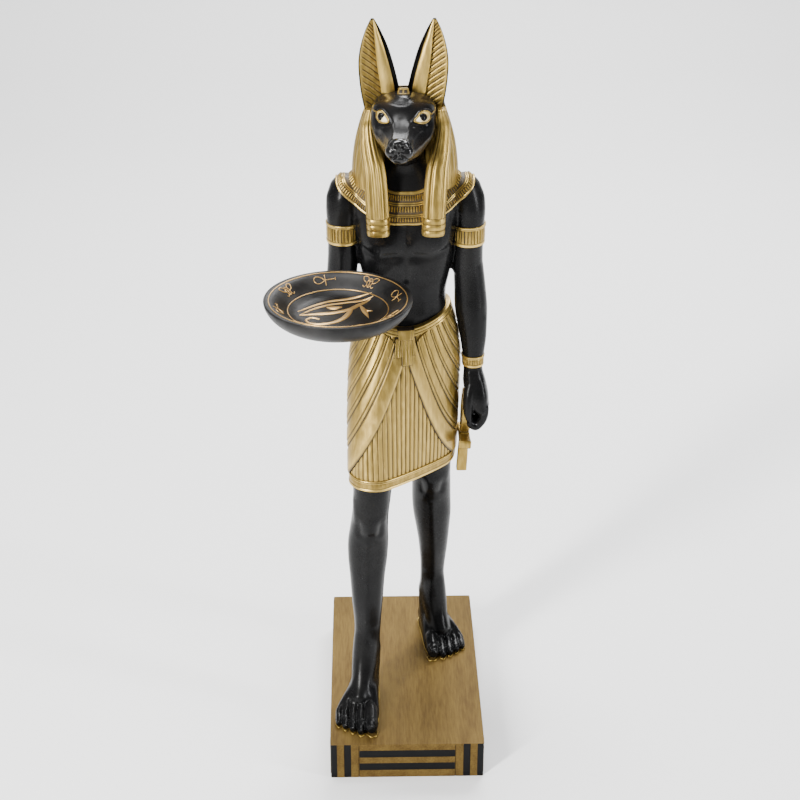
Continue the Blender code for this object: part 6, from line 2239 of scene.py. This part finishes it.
@dataclass
class Ankh:
    """The looped cross that hangs edge-on from the fist."""

    foot_x: float = 70.4
    foot_z: float = 300.5
    lean: float = 0.055
    bar_z: float = 347.5
    loop_z: float = 382.0
    loop_half: float = 5.7
    y: float = -7.0

    def place(self, across: Any, y: Any, z: Any) -> np.ndarray:
        """Points of the ankh, which leans outwards towards its loop."""
        across, y, z = np.broadcast_arrays(*(np.asarray(v, float) for v in (across, y, z)))
        return np.stack([self.foot_x + self.lean * (z - self.foot_z) + across, self.y + y, z], -1)

    def section(self, half: float, tall: float) -> np.ndarray:
        """A rectangle with rounded corners, as pairs."""
        r = min(half, tall) * 0.28
        corners = []
        for quarter, (sx, sy) in enumerate(((1, 1), (-1, 1), (-1, -1), (1, -1))):
            for a in np.radians(90 * quarter + np.array([0, 30, 60, 90])):
                corners.append((sx * (half - r) + r * math.cos(a), sy * (tall - r) + r * math.sin(a)))
        return np.array(corners)

    def limb(self, name: str, rows: Sequence[tuple[float, ...]], upright: bool) -> Form:
        """A bevelled arm of the cross, from rows of place, half thickness across and half width."""
        first, last = rows[0], rows[-1]
        way = 1 if last[0] > first[0] else -1
        rows = [
            (first[0], first[1] * 0.84, first[2] * 0.8), (first[0] + way * 0.9, *first[1:]), *rows[1:-1],
            (last[0] - way * 0.9, *last[1:]), (last[0], last[1] * 0.84, last[2] * 0.8),
        ]
        rings = []
        for place, half, wide in rows:
            pair = self.section(half, wide)
            if upright:
                rings.append(self.place(pair[:, 0], pair[:, 1], place))
            else:
                rings.append(self.place(pair[:, 0], place, self.bar_z + pair[:, 1]))
        return loft(name, rings)

    def build(self, shop: Workshop) -> None:
        """Makes and publishes the ankh."""
        rings = []
        for turn in 2 * np.pi * np.arange(72) / 72:
            pull = 1.0 - 0.35 * max(0.0, -math.cos(turn)) ** 1.5
            y, z = math.sin(turn) * pull, math.cos(turn)
            outer = np.array([19 * y, self.loop_z + 30 * z])
            inner = np.array([11 * y, self.loop_z + 1.5 + 21 * z])
            centre, reach = (outer + inner) / 2, np.linalg.norm(outer - inner) / 2
            way = (outer - inner) / (2 * reach)
            pair = self.section(self.loop_half, reach)
            spread = centre + way * pair[:, 1:]
            rings.append(self.place(pair[:, 0], spread[:, 0], spread[:, 1]))
        count, sides = len(rings), len(rings[0])
        faces = []
        for r in range(count):
            for k in range(sides):
                a, b = r * sides + k, r * sides + (k + 1) % sides
                c, d = (r + 1) % count * sides + (k + 1) % sides, (r + 1) % count * sides + k
                faces.append((a, b, c, d))
        loop = Form("ankh_loop", np.concatenate(rings), faces)
        low = loop.points[:, 2]
        # Painted shade on the neck of the loop, darker towards the bottom.
        loop.marks = {"groove": np.clip((358 - low) / 6, 0, 0.8)}
        shop.publish(loop, Paint.GOLD, Node.FIGURE, 40)
        arm = ((27, 7.4, 5.2), (16, 6.8, 4.5), (6, 6.6, 4.0))
        bar = [(-place, half, wide) for place, half, wide in arm] + list(arm[::-1])
        shop.publish(self.limb("ankh_bar", bar, False), Paint.GOLD, Node.FIGURE, 40)
        stem = [(self.foot_z, 6.3, 6.4), (320, 6.2, 5.5), (340, 6.0, 4.6), (self.bar_z + 5, 6.0, 4.4)]
        shop.publish(self.limb("ankh_stem", stem, True), Paint.GOLD, Node.FIGURE, 40)


# Dish and plinth.


@dataclass
class Dish:
    """The round dish: turned in one, with an eye and eight small signs drawn in gold line."""

    centre: tuple[float, float] = (-77.0, -139.0)
    foot_level: float = 554.8
    radius: float = 82.5
    height: float = 34.0
    floor: float = 14.5
    foot_radius: float = 34.0
    recess: float = 1.5
    lip: float = 2.5
    inner_shares: tuple[float, ...] = (0.0, 0.36, 0.6, 0.695, 0.94, 1.0)
    depth_shares: tuple[float, ...] = (1.0, 0.99, 0.92, 0.74, 0.05, 0.0)
    eye: dict[str, Path] = field(default_factory=lambda: {
        "brow": [(-45, 3.7, 1.0), (-27.3, 20.9, 1.8), (-11.1, 32, 2.3), (6.6, 38.0, 2.6), (24.4, 42.7, 2.4),
                 (37.3, 44, 1.4)],
        "upper_lid": [(-41.9, -3.6, 1.2), (-22.5, 15.4, 1.8), (-11, 22.5, 2.0), (6.7, 28.1, 2.0),
                      (24.4, 33.3, 2.6), (39, 38, 2.0)],
        "lower_lid": [(-42.5, -5.5, 2.0), (-22.2, -1.5, 3.2), (-1.3, 2.7, 3.4), (12.7, 10.7, 3.4),
                      (24, 23.4, 3.6), (36, 35, 2.2)],
        "pupil": [(-13, 15.8, 2.0), (-4.9, 14.6, 4.2), (4.1, 17.0, 2.2)],
        "fall": [(24, 22.3, 1.6), (28.4, 8.1, 3.0), (31.3, -3.6, 2.4), (33.9, -14.7, 0.7)],
        "fork": [(29.1, 8, 2.0), (34, 5.5, 1.5), (38.5, 5.0, 0.6)],
        "curl": [(15.2, 12.7, 3.6), (11.7, -0.4, 4.2), (4.9, -15.4, 3.6), (-9, -27.0, 2.9),
                 (-23.8, -29.5, 2.3), (-33.2, -24.2, 2.0), (-34.5, -17, 2.2), (-29, -12.4, 2.8),
                 (-20.1, -15.5, 3.4)],
    })

    def inside(self, r: np.ndarray) -> np.ndarray:
        """Height of the bowl's inner face above the foot at a radius."""
        reach = self.radius - self.lip
        deep = self.height - self.recess - self.floor
        table = list(zip(self.inner_shares, self.depth_shares))
        share = np.clip(np.asarray(r, float) / reach, 0, 1)
        smooth = smooth_rows(table, share.reshape(-1))[:, 1].reshape(share.shape)
        return self.height - deep * np.clip(smooth, 0, 1)

    def turned_profile(self) -> np.ndarray:
        """Radius and height from the underside's middle round to the bowl's middle."""
        inner = np.linspace(self.radius - self.lip, 0.0, 52)
        inner_z = self.inside(inner)
        outer = [(0.0, self.recess), (self.foot_radius - 5, self.recess), (self.foot_radius - 4, 0.0),
                 (self.foot_radius, 0.0), (self.foot_radius + 1.2, 1.2)]
        span = self.radius - self.foot_radius
        for a in np.radians(np.linspace(80, 4, 16)):
            high = self.height - 1.2 - (self.height - 3.6) * math.sin(a) ** 1.15
            outer.append((self.foot_radius + span * math.cos(a), high))
        outer += [(self.radius, self.height - 1.0), (self.radius - 0.3, self.height - 0.35),
                  (self.radius - 1.2, self.height), (self.radius - self.lip + 0.6, self.height - 0.1)]
        return np.concatenate([np.array(outer), np.stack([inner, inner_z], 1)])

    def on_bowl(self, x: np.ndarray, y: np.ndarray, lift: np.ndarray | float) -> np.ndarray:
        """Points on the inner face from places right and back of the centre."""
        x, y = np.asarray(x, float), np.asarray(y, float)
        z = self.inside(np.hypot(x, y)).reshape(x.shape)
        return np.stack([self.centre[0] + x, self.centre[1] + y, self.foot_level + z + lift], -1)

    def signs(self) -> list[tuple[np.ndarray, bool]]:
        """The eight signs on the wall: looped crosses and winged beetles in turn."""
        drawn = []

        def sign(turn: float, strokes: list[tuple[Path, bool]], scale: float) -> None:
            a = math.radians(turn)
            out, side = np.array([math.cos(a), math.sin(a)]), np.array([-math.sin(a), math.cos(a)])
            for path, closed in strokes:
                curve = smooth_path(path, 40 if closed else 22, closed=closed)
                spot = out[None, :] * (67.0 + curve[:, 1:2]) - side[None, :] * curve[:, 0:1] * scale
                drawn.append((self.on_bowl(spot[:, 0], spot[:, 1], 0.15), closed))

        cross = [([(-1.6, 0), (-7, -3.4), (-12.5, -3.2), (-14.5, 0), (-12.5, 3.2), (-7, 3.4)], True),
                 ([(-0.2, -5.8), (-0.2, 0), (-0.2, 5.8)], False),
                 ([(-1.6, 0), (5, 0), (12.5, 0)], False), ([(12.5, -1.6), (12.5, 0), (12.5, 1.6)], False)]
        beetle = [([(0, -5.2), (-3.4, -2.4), (-3.4, 2.2), (0, 4.4), (3.4, 2.2), (3.4, -2.4)], True),
                  ([(-3.4, 1.2), (0, 1.8), (3.4, 1.2)], False), ([(0, 1.8), (0, -1), (0, -5.2)], False),
                  ([(-3, 3), (-7.5, 6.2), (-12.5, 4.6), (-9.5, 0.6), (-3.6, -0.8)], False),
                  ([(3, 3), (7.5, 6.2), (12.5, 4.6), (9.5, 0.6), (3.6, -0.8)], False),
                  ([(-3, -3.4), (-6, -5.6), (-8.5, -4.4)], False),
                  ([(3, -3.4), (6, -5.6), (8.5, -4.4)], False)]
        for k in range(4):
            sign(13 + 90 * k, cross, 0.92)
            sign(58 + 90 * k, beetle, 0.8)
        return drawn

    def ribbon(self, name: str, path: Path) -> Form:
        """One flat stroke of the eye, from places and half widths."""
        count = 48
        drawn = smooth_path(path, count)
        middle, half = drawn[:, :2], drawn[:, 2]
        way = np.gradient(middle, axis=0)
        way /= np.linalg.norm(way, axis=1, keepdims=True)
        across = np.stack([-way[:, 1], way[:, 0]], 1)
        tip = np.sin(np.pi * np.linspace(0.03, 0.97, count)) ** 0.4
        u = np.linspace(-1, 1, 9)
        spot = middle[:, None, :] + across[:, None, :] * (u[None, :] * (half * tip)[:, None])[..., None]
        crown = 0.75 * (1 - np.abs(u) ** 3.0)[None, :] * np.minimum(1, tip * 1.2)[:, None]
        outer = self.on_bowl(spot[..., 0], spot[..., 1], crown + 0.05)
        inner = self.on_bowl(spot[..., 0], spot[..., 1], -0.8)
        # A painted highlight along the middle of the stroke.
        return sheet("dish_" + name, outer, inner, marks={"crest": 0.4 * (1 - u**2)[None, :]})

    def build(self, shop: Workshop, lines: LineMaker) -> None:
        """Makes and publishes the dish."""
        columns = 144
        turn = 2 * np.pi * np.arange(columns)[:, None] / columns
        rings = []
        for r, z in self.turned_profile():
            ring = np.concatenate([np.cos(turn), np.sin(turn)], 1) * max(r, 0.02)
            rings.append(at_height(ring + self.centre, self.foot_level + z))
        shop.publish(loft("dish_bowl", rings), Paint.DISH, Node.DISH, 50)
        circle = 2 * np.pi * np.arange(160) / 160
        rounds = [(self.on_bowl(r * np.cos(circle), r * np.sin(circle), 0.1), True) for r in (55.8, 76.6)]
        lines.lines("dish_circles", rounds, 0.62, Paint.DISH_GOLD, Node.DISH)
        for name, path in self.eye.items():
            shop.publish(self.ribbon(name, path), Paint.DISH_GOLD, Node.DISH, 50)
        lines.lines("dish_signs", self.signs(), 0.5, Paint.DISH_GOLD, Node.DISH)


@dataclass
class Plinth:
    """The oblong block: a brushed top, and sides with black bars sunk between gold panels."""

    half_width: float = 96.0
    half_depth: float = 168.0
    height: float = 50.5
    rounding: float = 2.5
    sink: float = 0.85
    # Spans of the upright bars and lines from the near corner, then the panel's level bars.
    uprights: tuple[tuple[float, float], ...] = ((0.0, 8.5), (17.4, 26.0))
    line: float = 35.9
    levels: tuple[tuple[float, float], ...] = ((9.5, 20.0), (29.0, 39.5))

    def stations(self, half: float) -> np.ndarray:
        """Places along one side where its shape changes, from -half to half."""
        places = [0.0, 0.4]
        for low, high in self.uprights:
            places += [low - 0.35, low + 0.35, high - 0.35, high + 0.35]
        places += [self.line - 0.7, self.line - 0.15, self.line + 0.15, self.line + 0.7]
        near = np.array([p for p in places if p > self.rounding]) - half
        middle = np.linspace(-half + self.line + 3, half - self.line - 3, 13)
        return np.unique(np.concatenate([near, -near, middle]))

    def relief(self, place: np.ndarray, half: float, drop: float) -> tuple[np.ndarray, ...]:
        """How far each place of one side is sunk, and its bar and groove marks."""
        near = half - np.abs(place)
        bar = np.zeros_like(near)
        for low, high in self.uprights:
            span = smoothstep((near - low + 0.35) / 0.7) * smoothstep((high + 0.35 - near) / 0.7)
            bar = np.maximum(bar, span)
        bar *= 0.7 < drop < self.height - 0.05
        groove = np.exp(-(((near - self.line) / 0.42) ** 2)) * (1.2 < drop)
        inside = smoothstep((near - self.line - 0.2) / 0.7)
        for low, high in self.levels:
            share = np.clip((drop - low + 0.35) / 0.7, 0, 1) * np.clip((high + 0.35 - drop) / 0.7, 0, 1)
            bar = np.maximum(bar, inside * share * share * (3 - 2 * share))
        return self.sink * bar + 0.7 * groove, bar, groove

    def build(self, shop: Workshop) -> None:
        """Makes and publishes the plinth."""
        w, d, r = self.half_width, self.half_depth, self.rounding
        drops = [self.height, self.height - 0.6]
        for low, high in self.levels:
            drops += [low - 0.35, low, low + 0.35, high - 0.35, high, high + 0.35]
        drops += [0.3, 0.8, 1.4, 5, 25]
        levels = sorted(set(drops), reverse=True)
        rings, bars, grooves = [], [], []
        for drop in levels:
            tight = 0.55 * max(0.0, 1 - drop / 0.8) ** 2 + 0.5 * max(0.0, 1 - (self.height - drop) / 0.6)
            points, bar, groove = [], [], []
            for side, (half, other) in enumerate(((w, d), (d, w), (w, d), (d, w))):
                places = self.stations(half)
                sunk, dark, cut = self.relief(places, half, drop)
                a = math.radians(90 * side)
                turn = np.array([[math.cos(a), -math.sin(a)], [math.sin(a), math.cos(a)]])
                flat = np.stack([places, -(other - tight - sunk)], 1) @ turn.T
                points.append(flat)
                bar.append(dark)
                groove.append(cut)
                arc = np.radians([-75, -60, -45, -30, -15])
                centre = np.array([half - r, -(other - r)])
                dark_corner = 1.0 if 0.7 < drop < self.height - 0.05 else 0.0
                reach = r - tight - self.sink * dark_corner
                bend = centre + reach * np.stack([np.cos(arc), np.sin(arc)], 1)
                points.append(bend @ turn.T)
                bar.append(np.full(len(arc), dark_corner))
                groove.append(np.zeros(len(arc)))
            rings.append(at_height(np.concatenate(points), self.height - drop - SOLE_LEVEL))
            bars += bar
            grooves += groove
        form = loft("plinth_block", rings).marked(bar=bars, groove=grooves)
        shop.publish(form, Paint.PLINTH, Node.PLINTH, 35)


FRONT_LEG: Table = (
    (400, -36, -40, 30, 30, 30, 2), (330, -39.5, -62, 25.5, 26, 27, 2), (297, -41, -63, 23, 25.5, 24, 2.1),
    (273, -43, -62, 22.4, 25, 23, 2.2), (250, -45, -60, 23.5, 22.5, 26, 2.1),
    (231, -46.2, -58, 25, 21, 30, 2), (205, -47, -57, 24.4, 20.5, 30, 2), (180, -47.6, -57, 22, 20, 26, 2),
    (151, -47.8, -57, 20, 19, 21.5, 2), (109, -47.8, -56, 17.3, 17, 17.5, 2),
    (75, -48.6, -54, 16.4, 17, 17, 2), (45, -50, -52, 18.2, 19, 18, 2.1), (20, -50, -50, 16, 18, 16, 2.2),
)
BACK_LEG: Table = (
    (400, 31, 12, 31, 30, 28, 2), (330, 33.5, 32, 26, 26, 24.5, 2), (297, 34.5, 39, 25, 25.5, 24, 2.1),
    (273, 35, 43, 24.6, 25, 23, 2.2), (250, 35.4, 47, 24.8, 22.5, 26, 2.1), (228, 35.8, 52, 25, 21, 29, 2),
    (205, 37, 57, 24.6, 20.5, 28, 2), (178, 38.4, 63, 22, 20, 24, 2), (154, 39.4, 68, 19.6, 19, 20.5, 2),
    (117, 39.4, 76, 17, 17, 17.5, 2), (85, 38.7, 82, 16, 17, 17, 2), (45, 39, 89, 18.2, 19, 18, 2.1),
    (20, 39, 91, 16, 18, 16, 2.2),
)


def statue(shop: Workshop) -> None:
    """Dresses the whole statue in order, from the plinth to the ears."""
    lines, bars = LineMaker(shop), BarMaker(shop)
    Plinth().build(shop)
    trunk = Trunk()
    skin = trunk.build(shop)
    front = Leg(
        Side.RIGHT, FRONT_LEG, (-50.5, -34.0), 1.5, 262, [(-46, -79, 235), (-48, -75, 110), (-49, -73, 66)],
        [(-66, -50, 62), (-33, -54, 68)],
    )
    back = Leg(
        Side.LEFT, BACK_LEG, (36.5, 119.0), 6.5, 262, [(35.8, 31, 230), (39, 60, 110), (39.5, 67, 66)],
        [(56, 86, 62), (22, 84, 68)], length=0.92,
        bend=((45, 0, 112), (46, 0, 84), (48.5, 0.5, 62), (54, 2, 45), (63, 4, 30), (75, 7, 18)),
    )
    edges = []
    for leg in (front, back):
        leg.build(shop)
        edges.append((leg.sole_edge(), True))
    lines.lines("sole_lines", edges, 0.8, Paint.GOLD, Node.FIGURE)
    Head().build(shop, lines)
    for side in Side:
        Ear(side).build(shop)
    Wig().build(shop)
    Collar().build(shop, bars, Ground(skin))
    ArmBand("left_armlet", trunk.left_upper_arm, (600.0, 625.0), 1.9, 4.6, 2.9, 3.75).build(shop, bars)
    ArmBand("right_armlet", trunk.right_upper_arm, (603.0, 628.0), 1.9, 4.6, 2.9, 3.75).build(shop, bars)
    ArmBand("bracelet", trunk.left_forearm, (444.5, 458.5), 1.6, 4.0, 2.3, 2.9).build(shop, bars)
    Kilt().build(shop, bars)
    Ankh().build(shop)
    Dish().build(shop, lines)


def main() -> None:
    """Loads the frame, builds the statue and the studio, and measures the scene's bounds before and after."""
    logging.basicConfig(level=logging.INFO, format="%(message)s")
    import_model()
    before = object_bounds()
    shop = Workshop()
    shop.mix_paints()
    statue(shop)
    Studio().build()
    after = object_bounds()
    {"before": plain(before), "after": plain(after)}


def plain(value: Any) -> Any:
    """Vectors and arrays as plain lists."""
    if isinstance(value, dict):
        return {str(k): plain(v) for k, v in value.items()}
    if isinstance(value, (int, float, str)) or value is None:
        return value
    return [plain(v) for v in value]


if __name__ == "__main__":
    main()
